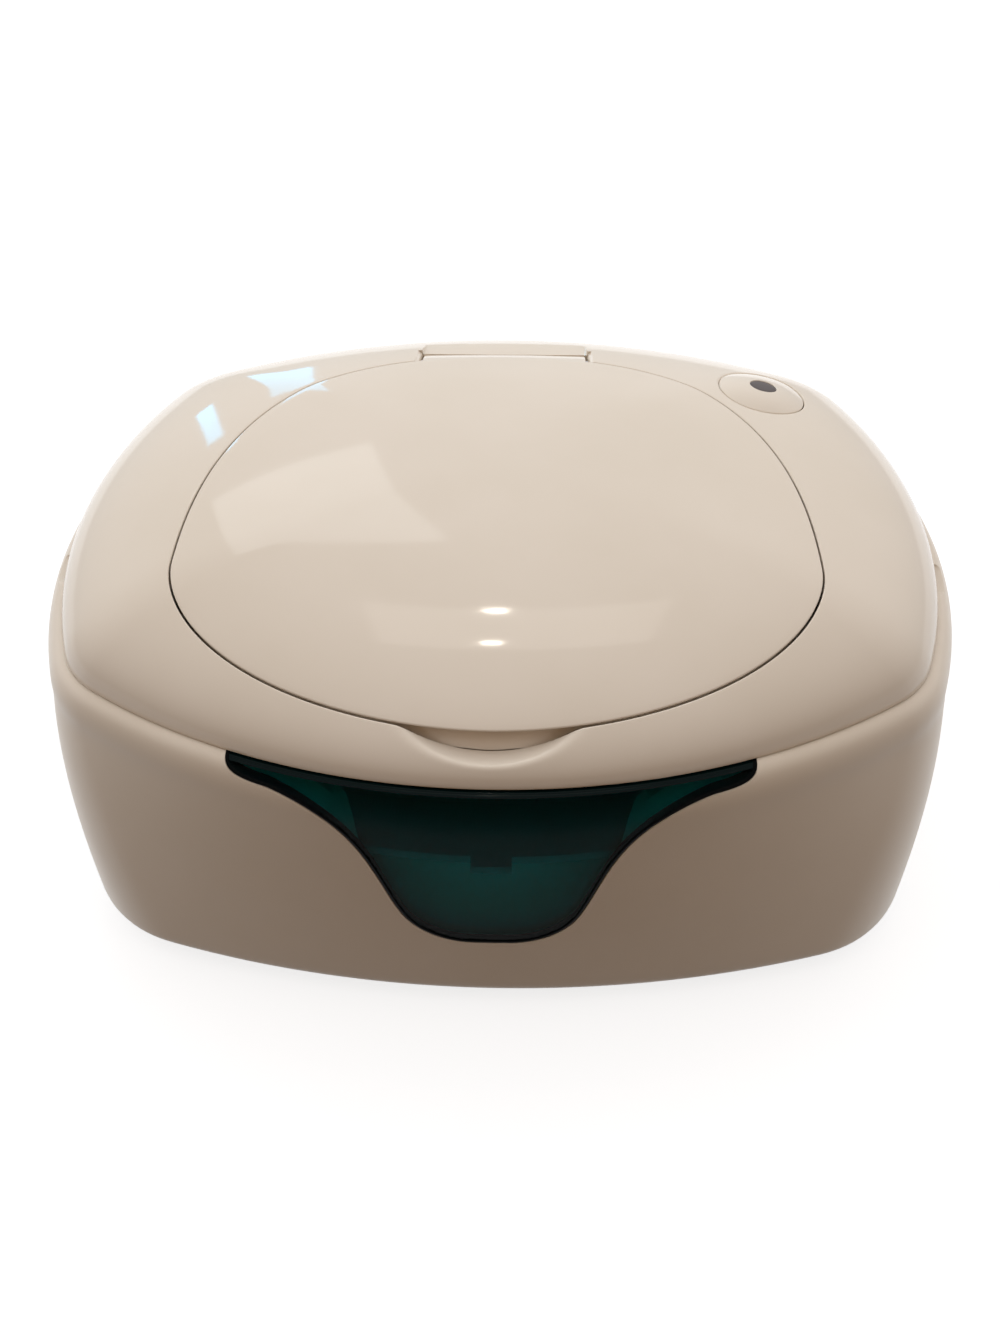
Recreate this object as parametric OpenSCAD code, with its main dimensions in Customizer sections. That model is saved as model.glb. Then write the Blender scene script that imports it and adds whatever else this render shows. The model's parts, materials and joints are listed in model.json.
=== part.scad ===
// Baby wipe warmer: a lower body that holds the wipes, a heated top cover
// hinged at the back, a flip lid in the cover, and a light button.
// Millimetres. The origin is on the floor under the middle, the front faces -Y.

/* [Lower body] */
// Width at the widest level
body_w = 244; // [220:1:280]
// Depth at the widest level
body_d = 198; // [185:1:225]
// Height of the seam above the shell's bottom edge
body_h = 78.6; // [72:0.2:95]
// Plan radius of the front and rear faces
face_r = 180; // [165:1:240]
// Plan radius of the side faces
flank_r = 142; // [135:1:200]
// Plan radius of the four corners
corner_r = 32; // [27:0.5:40]
// How much narrower the base is than the widest level, each side
base_in_x = 5; // [2:0.5:10]
// How much shallower the base is, front and back each
base_in_y = 3; // [1:0.5:8]
// How much flatter the base's front face is, as a radius added
base_flat = 150; // [60:5:250]
// Rounding of the bottom edge
base_round = 5.2; // [3:0.2:8]
// Height of the rolled shoulder under the seam
shoulder = 9.5; // [7:0.5:13]
// How far the seam lies inside the widest level
rim_in = 5.2; // [4:0.2:7]
// Wall of the moulded shells
wall = 2.6; // [2:0.1:3.4]

/* [Top cover] */
// Rise of the dome over the seam
dome_rise = 27; // [24:0.5:34]
// How much the dome stays up towards the sides
dome_spread = 0.42; // [0:0.02:0.5]
// How much higher the dome is towards the back
dome_lean = 0.19; // [0:0.01:0.25]
// Open line between cover and body
seam_gap = 0.3; // [0.2:0.05:0.8]
// Height of the lid well's floor over the seam
deck_rise = 3.4; // [2.8:0.2:4.4]
// Thickness of the floor of the lid well
deck_t = 2; // [1.6:0.2:2.6]
// Wall round the lid well
well_wall = 2.2; // [1.6:0.1:2.8]

/* [Lid] */
// Width of the cover beside the lid
lid_side_in = 43.4; // [36:0.2:50]
// Depth of the cover in front of the lid
lid_front_in = 14.2; // [13:0.2:19]
// Depth of the cover behind the lid's oval
lid_rear_in = 46; // [43:0.5:53]
// Where the lid is widest, in front of the middle
lid_wide_at = 40; // [34:1:46]
// Gap round the lid
lid_gap = 1; // [0.8:0.1:1.4]
// Thickness of the lid
lid_t = 2.2; // [1.8:0.1:2.6]
// Depth of the lid's edge
lid_skirt = 5.4; // [4.4:0.2:6]
// Half the width of the hinge tail
tail_half = 24.4; // [18:0.2:30]
// Hinge line of the lid, in from the widest level at the back
lid_axis_in = 42; // [40:0.5:46]
// Radius of the lid's hinge barrel
barrel_r = 2.9; // [2.4:0.1:3.4]
// Diameter of the lid's hinge pins
lid_pin_d = 2.4; // [1.8:0.1:3]

/* [Opening for the wipes] */
// Half the width of the dispensing opening
mouth_half_x = 55; // [40:1:60]
// Half the depth of the dispensing opening
mouth_half_y = 34; // [24:1:38]
// Middle of the opening, in front of the middle
mouth_at = 24; // [18:1:28]

/* [Button] */
// Middle of the light button, in from the widest level at the side
button_side_in = 47.4; // [42:0.2:52]
// Middle of the light button, in from the widest level at the back
button_back_in = 62.5; // [58:0.5:68]
// Half the button's width
button_half_x = 12; // [9:0.5:13]
// Half the button's length
button_half_y = 12.5; // [11:0.5:16]
// Gap round the button
button_gap = 0.5; // [0.3:0.1:0.8]
// Travel of the button
button_travel = 0.6; // [0.3:0.1:1]
// Tilt of the button to the back, in degrees
button_tilt_back = 7; // [4:0.5:12]
// Tilt of the button to the side, in degrees
button_tilt_side = 10; // [5:0.5:14]

/* [Window] */
// Lowest point of the window over the shell's bottom edge
window_low = 25.4; // [22:0.2:34]
// Half the width of the window at the seam
window_half = 60; // [52:0.5:66]
// Width of the dark seal round the window
window_seal = 1.6; // [1.2:0.1:2.4]
// Thickness of the clear panel
window_t = 2.2; // [1.6:0.1:2.6]

/* [Wipe tub] */
// Wall of the tub
tub_wall = 2; // [1.6:0.1:2.6]
// Height of the tub's underside over the shell's bottom edge
tub_floor = 8; // [7:0.2:14]
// Height of the low front wall
tub_front = 45; // [34:1:54]
// Half the width of the low front wall
tub_front_half = 46; // [40:1:52]

/* [Cover hinge] */
// Radius of the hinge knuckles
knuckle_r = 3.4; // [2.8:0.1:3.8]
// Diameter of the hinge pins
hinge_pin_d = 3; // [2.4:0.1:3.6]
// Middle of each cover knuckle, from the middle
knuckle_at = 20; // [18:0.5:24]
// Length of each cover knuckle
knuckle_len = 12; // [8:0.5:14]
// Width of each body ear
ear_w = 4.6; // [3.6:0.2:6]

/* [Feet and base] */
// Height of the rubber feet under the shell
foot_h = 3; // [2:0.2:5]
// Radius of the rubber feet
foot_r = 8; // [6:0.2:10]
// Foot's middle, in from the widest level at the side
foot_side_in = 38; // [36:1:52]
// Foot's middle, in from the widest level at the front and back
foot_end_in = 41; // [39:1:54]
// Thickness of the base plate
plate_t = 2.2; // [1.8:0.1:3]
// Base screw, in from the widest level at the side
screw_side_in = 64; // [59:1:77]
// Base screw, in from the widest level at the front and back
screw_end_in = 57; // [53:1:69]
// Diameter of the screws
screw_d = 3; // [2.4:0.1:3.6]

/* [Hidden] */
$fn = 48;

half_w = body_w / 2;
half_d = body_d / 2;
lid_half = half_w - lid_side_in;
lid_front = half_d - lid_front_in;
lid_rear = half_d - lid_rear_in;
lid_axis_y = half_d - lid_axis_in;
button_x = half_w - button_side_in;
button_y = half_d - button_back_in;
foot_x = half_w - foot_side_in;
foot_y = half_d - foot_end_in;
screw_x = half_w - screw_side_in;
screw_y = half_d - screw_end_in;
widest = body_h - shoulder;
base_bend = 1.1;
dome_p = 2.32;
dome_q = 1.89;
side_steps = 6;
corner_steps = 5;
face_steps = 7;
fit = 0.3;
ledge_w = 3;
rim_t = 3;
ledge_z = widest - 1;
flange_t = 2;
deck_top = body_h + deck_rise;
deck_low = deck_top - deck_t;
hinge_y = half_d - rim_in + 0.4;
hinge_z = body_h + seam_gap;

// Outlines in plan

function mix(a, b, k) = a + (b - a) * k;

// Middle of the corner arc that runs into the face arc and the flank arc
function corner_mid(a, b, rf, rs, rc) =
  let (c1 = [0, b - rf], c2 = [a - rs, 0], d = c2 - c1, len = norm(d),
       h = (pow(rf - rc, 2) - pow(rs - rc, 2) + len * len) / (2 * len),
       k = sqrt(pow(rf - rc, 2) - h * h))
  c1 + d * h / len + [d[1], -d[0]] * k / len;

function arc(c, r, a0, a1, n) =
  [for (i = [0:n - 1]) let (t = mix(a0, a1, i / n)) c + r * [cos(t), sin(t)]];

function quarter(a, b, rf, rs, rc) =
  let (c = corner_mid(a, b, rf, rs, rc), c1 = [0, b - rf], c2 = [a - rs, 0],
       t2 = atan2(c[1] - c2[1], c[0] - c2[0]), t1 = atan2(c[1] - c1[1], c[0] - c1[0]))
  concat(arc(c2, rs, 0, t2, side_steps), arc(c, rc, t2, t1, corner_steps),
         arc(c1, rf, t1, 90, face_steps), [[0, b]]);

function plan(a, b, rf, rs, rc) =
  let (q = quarter(a, b, rf, rs, rc), n = len(q) - 1)
  concat([for (i = [0:n - 1]) q[i]],
         [for (i = [n:-1:1]) [-q[i][0], q[i][1]]],
         [for (i = [0:n - 1]) -q[i]],
         [for (i = [n:-1:1]) [q[i][0], -q[i][1]]]);

// Body outline at height z over the shell's bottom edge, drawn in by "inset"
function narrow(z) = pow(max(0, 1 - z / widest), base_bend);
function tuck(z) =
  z > widest ? rim_in * (1 - sqrt(max(0, 1 - pow((z - widest) / shoulder, 2))))
  : z < base_round ? base_round - sqrt(pow(base_round, 2) - pow(base_round - z, 2)) : 0;
function body_line(z, inset) =
  let (g = narrow(z))
  plan(half_w - base_in_x * g - inset, half_d - base_in_y * g - inset,
       face_r + base_flat * g - inset, flank_r + 2 * base_flat * g - inset,
       corner_r + 5 * g - inset);
function seam_line(inset) = body_line(body_h, rim_in + inset);

// Distance from the middle to the seam line, drawn in by "inset", towards u
function hit(u, c, r) = let (d = u * c) d + sqrt(max(0, d * d - c * c + r * r));
function seam_reach(p, inset) =
  let (i = rim_in + inset, a = half_w - i, b = half_d - i, rf = face_r - i,
       rs = flank_r - i, rc = corner_r - i, l = max(norm(p), 0.001),
       u = [abs(p[0]), abs(p[1])] / l, c = corner_mid(a, b, rf, rs, rc),
       c1 = [0, b - rf], c2 = [a - rs, 0],
       t1 = c + rc * (c - c1) / norm(c - c1), t2 = c + rc * (c - c2) / norm(c - c2),
       an = atan2(u[1], u[0]))
  an < atan2(t2[1], t2[0]) ? hit(u, c2, rs) : an > atan2(t1[1], t1[0]) ? hit(u, c1, rf) : hit(u, c, rc);

// Height of the dome at a plan point, for a skin that lies "inset" inside it
function dome_z(p, inset = 0) =
  let (r = min(1, norm(p) / seam_reach(p, inset)))
  body_h + (dome_rise * (1 + dome_spread * pow(p[0] / half_w, 2) + dome_lean * p[1] / 100) - inset)
  * pow(max(0, 1 - pow(r, dome_p)), 1 / dome_q);

// The lid's oval: distance from its middle towards angle t
lid_mid = [0, (lid_rear - lid_front) / 2];
function oval(x, y) =
  let (n = y < 0 ? 1.9 : 2.32, b = y < 0 ? lid_front - lid_wide_at : lid_rear + lid_wide_at)
  pow(abs(x / lid_half), n) + pow(abs(y / b), n);
function oval_reach(t, lo = 20, hi = 130, n = 15) =
  let (m = (lo + hi) / 2)
  n == 0 ? m
  : oval(m * cos(t), lid_mid[1] + lid_wide_at + m * sin(t)) > 1
    ? oval_reach(t, lo, m, n - 1) : oval_reach(t, m, hi, n - 1);
seam_pts = seam_line(0);
turns = [for (p = seam_pts) atan2(p[1], p[0])];
lid_reach = [for (t = turns) oval_reach(t)];
function lid_line(grow, s = 1) =
  [for (i = [0:len(turns) - 1]) lid_mid + s * (lid_reach[i] + grow) * [cos(turns[i]), sin(turns[i])]];

function ellipse(rx, ry, n = 40, c = [0, 0]) =
  [for (i = [0:n - 1]) c + [rx * cos(360 * i / n), ry * sin(360 * i / n)]];

function raise(pts, z) = [for (p = pts) [p[0], p[1], z]];

// Solids from rows of points

// Tube wall: rows run once round the section and join up again
module ring_loft(rows) {
  m = len(rows);
  n = len(rows[0]);
  polyhedron([for (r = rows) each r],
    [for (i = [0:m - 1]) for (j = [0:n - 1])
      let (k = (j + 1) % n, e = ((i + 1) % m) * n, a = i * n + j, b = i * n + k, c = e + k, d = e + j)
      each [[a, c, b], [a, d, c]]], 10);
}

// Skin from one end point over the rows to the other end point
module cap_loft(first, rows, last) {
  m = len(rows);
  n = len(rows[0]);
  end = m * n + 1;
  polyhedron(concat([first], [for (r = rows) each r], [last]),
    concat(
      [for (j = [0:n - 1]) [0, 1 + (j + 1) % n, 1 + j]],
      [for (i = [0:m - 2]) for (j = [0:n - 1])
        let (a = 1 + i * n + j, b = 1 + i * n + (j + 1) % n, c = b + n, d = a + n)
        each [[a, b, c], [a, c, d]]],
      [for (j = [0:n - 1]) [end, 1 + (m - 1) * n + j, 1 + (m - 1) * n + (j + 1) % n]]), 10);
}

// Bar through flat loops that stand at growing x
module bar_loft(loops) {
  m = len(loops);
  n = len(loops[0]);
  polyhedron([for (l = loops) each l],
    concat(
      [[for (j = [0:n - 1]) j]],
      [[for (j = [n - 1:-1:0]) (m - 1) * n + j]],
      [for (i = [0:m - 2]) for (j = [0:n - 1])
        let (a = i * n + j, b = i * n + (j + 1) % n, c = b + n, d = a + n)
        each [[a, c, b], [a, d, c]]]), 10);
}

module lifted() {
  translate([0, 0, foot_h]) children();
}

module slab(points, z0, z1) {
  translate([0, 0, z0]) linear_extrude(z1 - z0) polygon(points);
}

module band(outer, inner, z0, z1) {
  translate([0, 0, z0]) linear_extrude(z1 - z0) difference() {
    polygon(outer);
    polygon(inner);
  }
}

module x_rod(x0, x1, y, z, r) {
  translate([x0, y, z]) rotate([0, 90, 0]) cylinder(h = x1 - x0, r = r);
}

module each_side() {
  for (s = [0, 1]) mirror([s, 0, 0]) children();
}

// Lower body

// Window outline, right half from the bottom middle up to the seam and over it
function curve(a, b, c, d, n) =
  [for (i = [0:n - 1]) let (t = i / n, k = 1 - t)
    k * k * k * a + 3 * k * k * t * b + 3 * k * t * t * c + t * t * t * d];
sill_r = 18.5;
sill_half = 4.5;
sill_turn = 22.5;
wing_w = 10;
wing_z = body_h - 3.6;
window_right = concat(
  arc([sill_half, window_low + sill_r], sill_r, -90, -sill_turn, 7),
  curve([sill_half + sill_r * cos(sill_turn), window_low + sill_r * (1 - sin(sill_turn))],
        [window_half * 0.459, mix(window_low, body_h, 0.48)],
        [window_half * 0.4775, mix(window_low, body_h, 0.861)],
        [window_half - wing_w, wing_z], 9),
  [[window_half - wing_w, wing_z], [window_half - 3.4, wing_z + 0.6], [window_half - 1.4, wing_z + 1.5],
   [window_half - 0.2, wing_z + 2.9], [window_half, body_h + 0.1], [window_half, body_h + 8]]);
window_pts = concat(window_right,
  [for (i = [len(window_right) - 1:-1:0]) [-window_right[i][0], window_right[i][1]]]);

window_back = 18;
module window_prism(grow) {
  translate([0, window_back - half_d, 0]) rotate([90, 0, 0]) linear_extrude(window_back + 12)
    offset(delta = grow) polygon(window_pts);
}

// Front wall of the body between two depths, as wide as the window
function front_y(x, z) =
  let (g = narrow(z), r = face_r + base_flat * g - tuck(z), b = half_d - base_in_y * g - tuck(z))
  r - b - sqrt(r * r - x * x);
module front_skin(d0, d1) {
  levels = [for (i = [0:9]) mix(window_low - 4, widest, i / 9),
            for (i = [1:5]) widest + shoulder * sin(i * 18) * 0.998];
  reach = window_half + 4;
  bar_loft([for (i = [0:20]) let (x = mix(-reach, reach, i / 20))
    concat([for (z = levels) [x, front_y(x, z) + d1, z]],
           [for (k = [len(levels) - 1:-1:0]) [x, front_y(x, levels[k]) + d0, levels[k]]])]);
}

module window() {
  color("teal") lifted() intersection() {
    front_skin(0.3, 0.3 + window_t);
    window_prism(-window_seal - 0.05);
  }
}

module window_gasket() {
  color("black") lifted() intersection() {
    front_skin(0, wall + 0.2);
    difference() {
      window_prism(-0.05);
      window_prism(-window_seal);
    }
  }
}

shell_levels = concat([0, base_round * 0.08, base_round * 0.34, base_round],
  [for (i = [1:4]) mix(base_round, widest, i / 5)],
  [for (i = [0:5]) widest + shoulder * sin(i * 18)]);
plate_in = 12;

knuckle_room = knuckle_len / 2 + 0.4;
module ears() {
  each_side() for (x = [knuckle_at - knuckle_room - ear_w, knuckle_at + knuckle_room]) {
    x_rod(x, x + ear_w, hinge_y, hinge_z, knuckle_r);
    translate([x, hinge_y - knuckle_r + 0.4, body_h - 7])
      cube([ear_w, 2 * knuckle_r - 0.4, hinge_z - body_h + 7]);
  }
}

module body_shell() {
  color("linen") lifted() difference() {
    union() {
      ring_loft(concat(
        [for (z = shell_levels) raise(body_line(z, tuck(z)), z)],
        [raise(body_line(body_h, rim_in + rim_t), body_h),
         raise(body_line(widest, rim_in + rim_t), ledge_z),
         raise(body_line(widest, rim_in + rim_t + ledge_w), ledge_z),
         raise(body_line(widest, rim_in + rim_t + ledge_w), ledge_z - 2.5),
         raise(body_line(ledge_z - 9, wall), ledge_z - 9),
         raise(body_line(widest / 2, wall), widest / 2),
         raise(body_line(base_round + wall + 2, wall), base_round + wall + 2),
         raise(body_line(base_round + 1, wall + 1.6), base_round + 1),
         raise(body_line(0, plate_in - 3), wall + 0.4),
         raise(body_line(0, plate_in), wall + 0.4),
         raise(body_line(0, plate_in), 0)]));
      ears();
    }
    window_prism(0);
    each_side() {
      x_rod(knuckle_at - knuckle_room, knuckle_at + knuckle_room, hinge_y, hinge_z, knuckle_r + 0.5);
      x_rod(knuckle_at - knuckle_len, knuckle_at + knuckle_len, hinge_y, hinge_z, hinge_pin_d / 2);
      pry_notch();
    }
  }
}

// Finger notch across the seam at each side
notch_deep = 2.2;
notch_len = 12;
notch_high = 3.2;
module pry_notch() {
  translate([half_w - rim_in - notch_deep, -2 * notch_len, body_h - 1])
    cube([rim_in + notch_deep + 1, notch_len, notch_high]);
}

// Tub that holds the wipes: hangs on the ledge, low at the front behind the window
tub_line = body_line(widest, rim_in + rim_t + ledge_w + fit);
tub_bore = body_line(widest, rim_in + rim_t + ledge_w + fit + tub_wall);
flange_line = body_line(widest, rim_in + rim_t + fit);

module wipe_tub() {
  color("whitesmoke") lifted() difference() {
    union() {
      slab(tub_line, tub_floor, ledge_z + flange_t);
      slab(flange_line, ledge_z, ledge_z + flange_t);
      base_points() translate([0, 0, plate_top]) cylinder(h = tub_floor - plate_top + 0.5, r = screw_d + 1.6);
    }
    slab(tub_bore, tub_floor + tub_wall, body_h);
    translate([-tub_front_half, -half_d, tub_front]) cube([2 * tub_front_half, 30, body_h]);
    translate([-5, -half_d, tub_front - 4]) cube([10, 30, 8]);
    base_points() translate([0, 0, plate_top - 1]) cylinder(h = tub_floor - plate_top + 1.5, r = screw_d / 2);
  }
}

module tub_seal() {
  color("gray") lifted() difference() {
    band(body_line(widest, rim_in + rim_t + 1), body_line(widest, rim_in + rim_t + ledge_w + 1),
      ledge_z + flange_t, ledge_z + flange_t + 0.9);
    translate([-tub_front_half, -half_d, tub_front]) cube([2 * tub_front_half, 30, body_h]);
  }
}

plate_low = 0.4;
plate_top = plate_low + plate_t;

module base_points() {
  for (x = [-screw_x, screw_x]) for (y = [-screw_y, screw_y]) translate([x, y, 0]) children();
}

module base_plate() {
  color("gainsboro") lifted() difference() {
    slab(body_line(0, plate_in + fit), plate_low, plate_top);
    for (x = [-foot_x, foot_x]) for (y = [-foot_y, foot_y])
      translate([x, y, plate_low - 1]) cylinder(h = 2, r = foot_r + 0.1);
    base_points() {
      translate([0, 0, plate_low - 1]) cylinder(h = plate_t + 2, r = screw_d / 2);
      translate([0, 0, plate_low - 1]) cylinder(h = 2, r = screw_d + 0.2);
    }
  }
}

module foot(x, y) {
  color("dimgray") lifted() translate([x, y, -foot_h]) rotate_extrude()
    polygon([[0, 0], [foot_r - 1.2, 0], [foot_r - 0.3, 0.9], [foot_r, foot_h],
      [foot_r, foot_h + plate_low + 1], [0, foot_h + plate_low + 1]]);
}
module foot_fl() { foot(-foot_x, -foot_y); }
module foot_fr() { foot(foot_x, -foot_y); }
module foot_bl() { foot(-foot_x, foot_y); }
module foot_br() { foot(foot_x, foot_y); }

// Pan head screw that points up, its shank's end at z1
module screw(x, y, z0, z1) {
  color("silver") lifted() translate([x, y, z0]) difference() {
    union() {
      cylinder(h = 1, r = screw_d);
      cylinder(h = z1 - z0, r = screw_d / 2);
    }
    for (a = [0, 90]) rotate([0, 0, a]) translate([-1.6, -0.35, -0.1]) cube([3.2, 0.7, 0.7]);
  }
}
screw_top = tub_floor;
module base_screw_fl() { screw(-screw_x, -screw_y, plate_low, screw_top); }
module base_screw_fr() { screw(screw_x, -screw_y, plate_low, screw_top); }
module base_screw_bl() { screw(-screw_x, screw_y, plate_low, screw_top); }
module base_screw_br() { screw(screw_x, screw_y, plate_low, screw_top); }

module hinge_pin(s) {
  reach = knuckle_room + ear_w;
  color("silver") lifted()
    x_rod(s * knuckle_at - reach, s * knuckle_at + reach, hinge_y, hinge_z, hinge_pin_d / 2);
}
module hinge_pin_l() { hinge_pin(-1); }
module hinge_pin_r() { hinge_pin(1); }

// Top cover

liner_top = deck_low;
liner_low = ledge_z + flange_t + 1.2;
liner_t = 2;
tail_dip = 0.9;
lid_axis_z = dome_z([0, lid_axis_y]) - barrel_r - tail_dip;
brow_out = 7.5;
notch_r = barrel_r + 0.9;
jack_z = body_h + 8;
jack_r = 4.6;
jack_face = half_d - rim_in - 13.3;
jack_len = 15;
scoop_r = 36;
seal_h = 1.2;
lid_liner_t = 1.8;
tail_drop = 0.35;
skirt_draft = 1;

// Solid at the front for the finger scoop, hollow elsewhere
function hollow(p) = p[1] > 0 ? 1 : min(1, max(0, (abs(p[0]) - 24) / 14));
function cover_row(s) =
  let (a = seam_line(0), b = lid_line(lid_gap))
  [for (i = [0:len(a) - 1]) let (p = mix(b[i], a[i], s))
    [p[0], p[1], max(dome_z(p), body_h + seam_gap)]];
function under_row(s) =
  let (a = seam_line(wall), b = lid_line(lid_gap + well_wall))
  [for (i = [0:len(a) - 1])
    let (p = mix(b[i], a[i], s), z = max(dome_z(p, wall), deck_top))
    [p[0], p[1], mix(deck_top, z, hollow(p))]];

module cover_blank() {
  ring_loft(concat(
    [for (s = [1, 0.985, 0.95, 0.88, 0.75, 0.55, 0.3, 0]) cover_row(s)],
    [raise(lid_line(lid_gap), deck_top), raise(lid_line(lid_gap + well_wall), deck_top)],
    [for (s = [0, 0.25, 0.5, 0.75, 0.9, 0.97]) under_row(s)],
    [raise(seam_line(wall), body_h + seam_gap)]));
}

module at_button() {
  translate([button_x, button_y, dome_z([button_x, button_y])])
    rotate([-button_tilt_back, button_tilt_side, 0]) children();
}

module hinge_pocket() {
  x = tail_half + 0.8 + 4.6;
  translate([-x, lid_axis_y - 4, lid_axis_z - notch_r - 2.4])
    cube([2 * x, 4 + notch_r + 2.4, dome_z([x, lid_axis_y + notch_r + 2.4]) - lid_axis_z + notch_r + 1.6]);
}

// Slope from the pocket's rear wall up to the dome, over the width of the tail
module brow() {
  y0 = lid_axis_y + notch_r - 0.5;
  y1 = lid_axis_y + brow_out;
  top = lid_axis_z + 20;
  translate([-tail_half - 0.8, 0, 0]) rotate([90, 0, 90]) linear_extrude(2 * tail_half + 1.6)
    polygon([[y0, lid_axis_z + 1.2], [y1, dome_z([0, y1])], [y1, top], [y0, top]]);
}

module top_cover() {
  color("ivory") lifted() difference() {
    union() {
      cover_blank();
      hinge_pocket();
      each_side() {
        x_rod(knuckle_at - knuckle_len / 2, knuckle_at + knuckle_len / 2, hinge_y, hinge_z, knuckle_r);
        translate([knuckle_at - knuckle_len / 2, hinge_y - 4.6, body_h + seam_gap])
          cube([knuckle_len, 4.6, knuckle_r]);
      }
      translate([0, jack_face - jack_len + 1, jack_z]) rotate([-90, 0, 0])
        cylinder(h = jack_len - 1, r = jack_r + 1.8);
      for (x = [-liner_x, liner_x]) for (y = [-liner_y, liner_y]) translate([x, y, liner_top])
        cylinder(h = dome_z([x, y], wall) - liner_top, r = screw_d + 1);
    }
    translate([0, -lid_front + 3.2, deck_top + 0.6 + scoop_r]) sphere(r = scoop_r, $fn = 96);
    translate([-tail_half - 0.8, lid_axis_y - 20, lid_axis_z]) cube([2 * tail_half + 1.6, 20, 20]);
    translate([-tail_half - 0.8, lid_axis_y - 20, lid_axis_z - notch_r])
      cube([2 * tail_half + 1.6, 20 + notch_r, 20]);
    brow();
    each_side() {
      x_rod(tail_half - 1, tail_half + 9, lid_axis_y, lid_axis_z, lid_pin_d / 2);
      translate([tail_half - 0.5, lid_axis_y - 12, lid_axis_z - 1]) cube([4, 5, 10]);
      x_rod(knuckle_at - knuckle_len, knuckle_at + knuckle_len, hinge_y, hinge_z, hinge_pin_d / 2 + 0.05);
      for (x = [knuckle_at - knuckle_len / 2 - 0.8 - ear_w, knuckle_at + knuckle_len / 2])
        x_rod(x, x + ear_w + 0.8, hinge_y, hinge_z, knuckle_r + 0.4);
      pry_notch();
    }
    at_button() translate([0, 0, -12])
      linear_extrude(24) polygon(ellipse(button_half_x + button_gap, button_half_y + button_gap));
    translate([0, jack_face - jack_len, jack_z]) rotate([-90, 0, 0]) cylinder(h = jack_len + 1, r = jack_r);
    translate([0, jack_face, jack_z]) rotate([-90, 0, 0]) cylinder(h = 20, r = jack_r + 0.9);
    liner_points() cylinder(h = liner_top - liner_low + 8, r = screw_d / 2);
  }
}

mouth_mid = [0, -mouth_at];
function mouth_line(grow) = ellipse(mouth_half_x + grow, mouth_half_y + grow, 56, mouth_mid);

module well_deck() {
  color("floralwhite") lifted() difference() {
    slab(lid_line(lid_gap + well_wall), deck_low, deck_top);
    slab(mouth_line(0), deck_low - 1, deck_top + 1);
  }
}

module mouth_seal() {
  color("lightgray") lifted() band(mouth_line(4), mouth_line(0.6), deck_top, deck_top + seal_h);
}

// Tray under the cover: flange under the cover's edge, floor and chimney round the mouth
module cover_liner() {
  color("whitesmoke") lifted() difference() {
    union() {
      slab(body_line(widest, rim_in + rim_t + 1.2), liner_low, liner_top);
      slab(seam_line(wall + 1), body_h + seam_gap, liner_top);
      board_posts() cylinder(h = board_z - liner_low - 0.5, r = 3);
    }
    difference() {
      slab(body_line(widest, rim_in + rim_t + 1.2 + liner_t), liner_low + liner_t, liner_top + 1);
      slab(mouth_line(liner_t), liner_low, liner_top + 1);
      board_posts() cylinder(h = board_z - liner_low - 0.5, r = 3);
      liner_points() cylinder(h = liner_top - liner_low, r = screw_d + 1);
    }
    slab(mouth_line(0), liner_low - 1, liner_top + 1);
    liner_points() translate([0, 0, -1]) cylinder(h = 30, r = screw_d / 2);
    liner_points() translate([0, 0, -1]) cylinder(h = 2.2, r = screw_d + 0.2);
    board_posts() translate([0, 0, 4]) cylinder(h = 40, r = 1);
  }
}

liner_x = half_w - 37;
liner_y = half_d - 45;
module liner_points() {
  for (x = [-liner_x, liner_x]) for (y = [-liner_y, liner_y]) translate([x, y, liner_low]) children();
}
module liner_screw(x, y) {
  screw(x, y, liner_low + 0.2, liner_top + 7);
}
module liner_screw_fl() { liner_screw(-liner_x, -liner_y); }
module liner_screw_fr() { liner_screw(liner_x, -liner_y); }
module liner_screw_bl() { liner_screw(-liner_x, liner_y); }
module liner_screw_br() { liner_screw(liner_x, liner_y); }

// Heater stack on the liner's floor, round the mouth
heat_line = ellipse(mouth_half_x + 26, mouth_half_y + 22, 56, mouth_mid);
heat_hole = mouth_line(liner_t + 1.5);
heat_z = liner_low + liner_t;
foil_top = heat_z + 1.5;
sensor_y = mouth_half_y - mouth_at + 13;
fuse_x = 33;
fuse_y = 16;

module heater_plate() {
  color("lightsteelblue") lifted() band(heat_line, heat_hole, heat_z, heat_z + 1.2);
}
module heater_foil() {
  color("peru") lifted() band(heat_line, heat_hole, heat_z + 1.2, foil_top);
}
module heater_pad() {
  color("khaki") lifted() difference() {
    band(heat_line, heat_hole, foil_top, deck_low);
    translate([-9.5, sensor_y - 6.5, foil_top - 1]) cube([19, 13, 6]);
    translate([fuse_x - 10, fuse_y - 2.6, foil_top - 1]) cube([60, 5.2, 5.4]);
  }
}
module thermostat() {
  color("black") lifted() translate([0, sensor_y, foil_top]) {
    translate([-9, -6, 0]) cube([18, 12, 1]);
    cylinder(h = 4.6, r = 5.5);
  }
}
module thermal_fuse() {
  color("tan") lifted() {
    x_rod(fuse_x - 7, fuse_x + 7, fuse_y, foil_top + 2, 2);
    x_rod(fuse_x - 9, fuse_x + 11, fuse_y, foil_top + 2, 0.6);
  }
}

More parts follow.
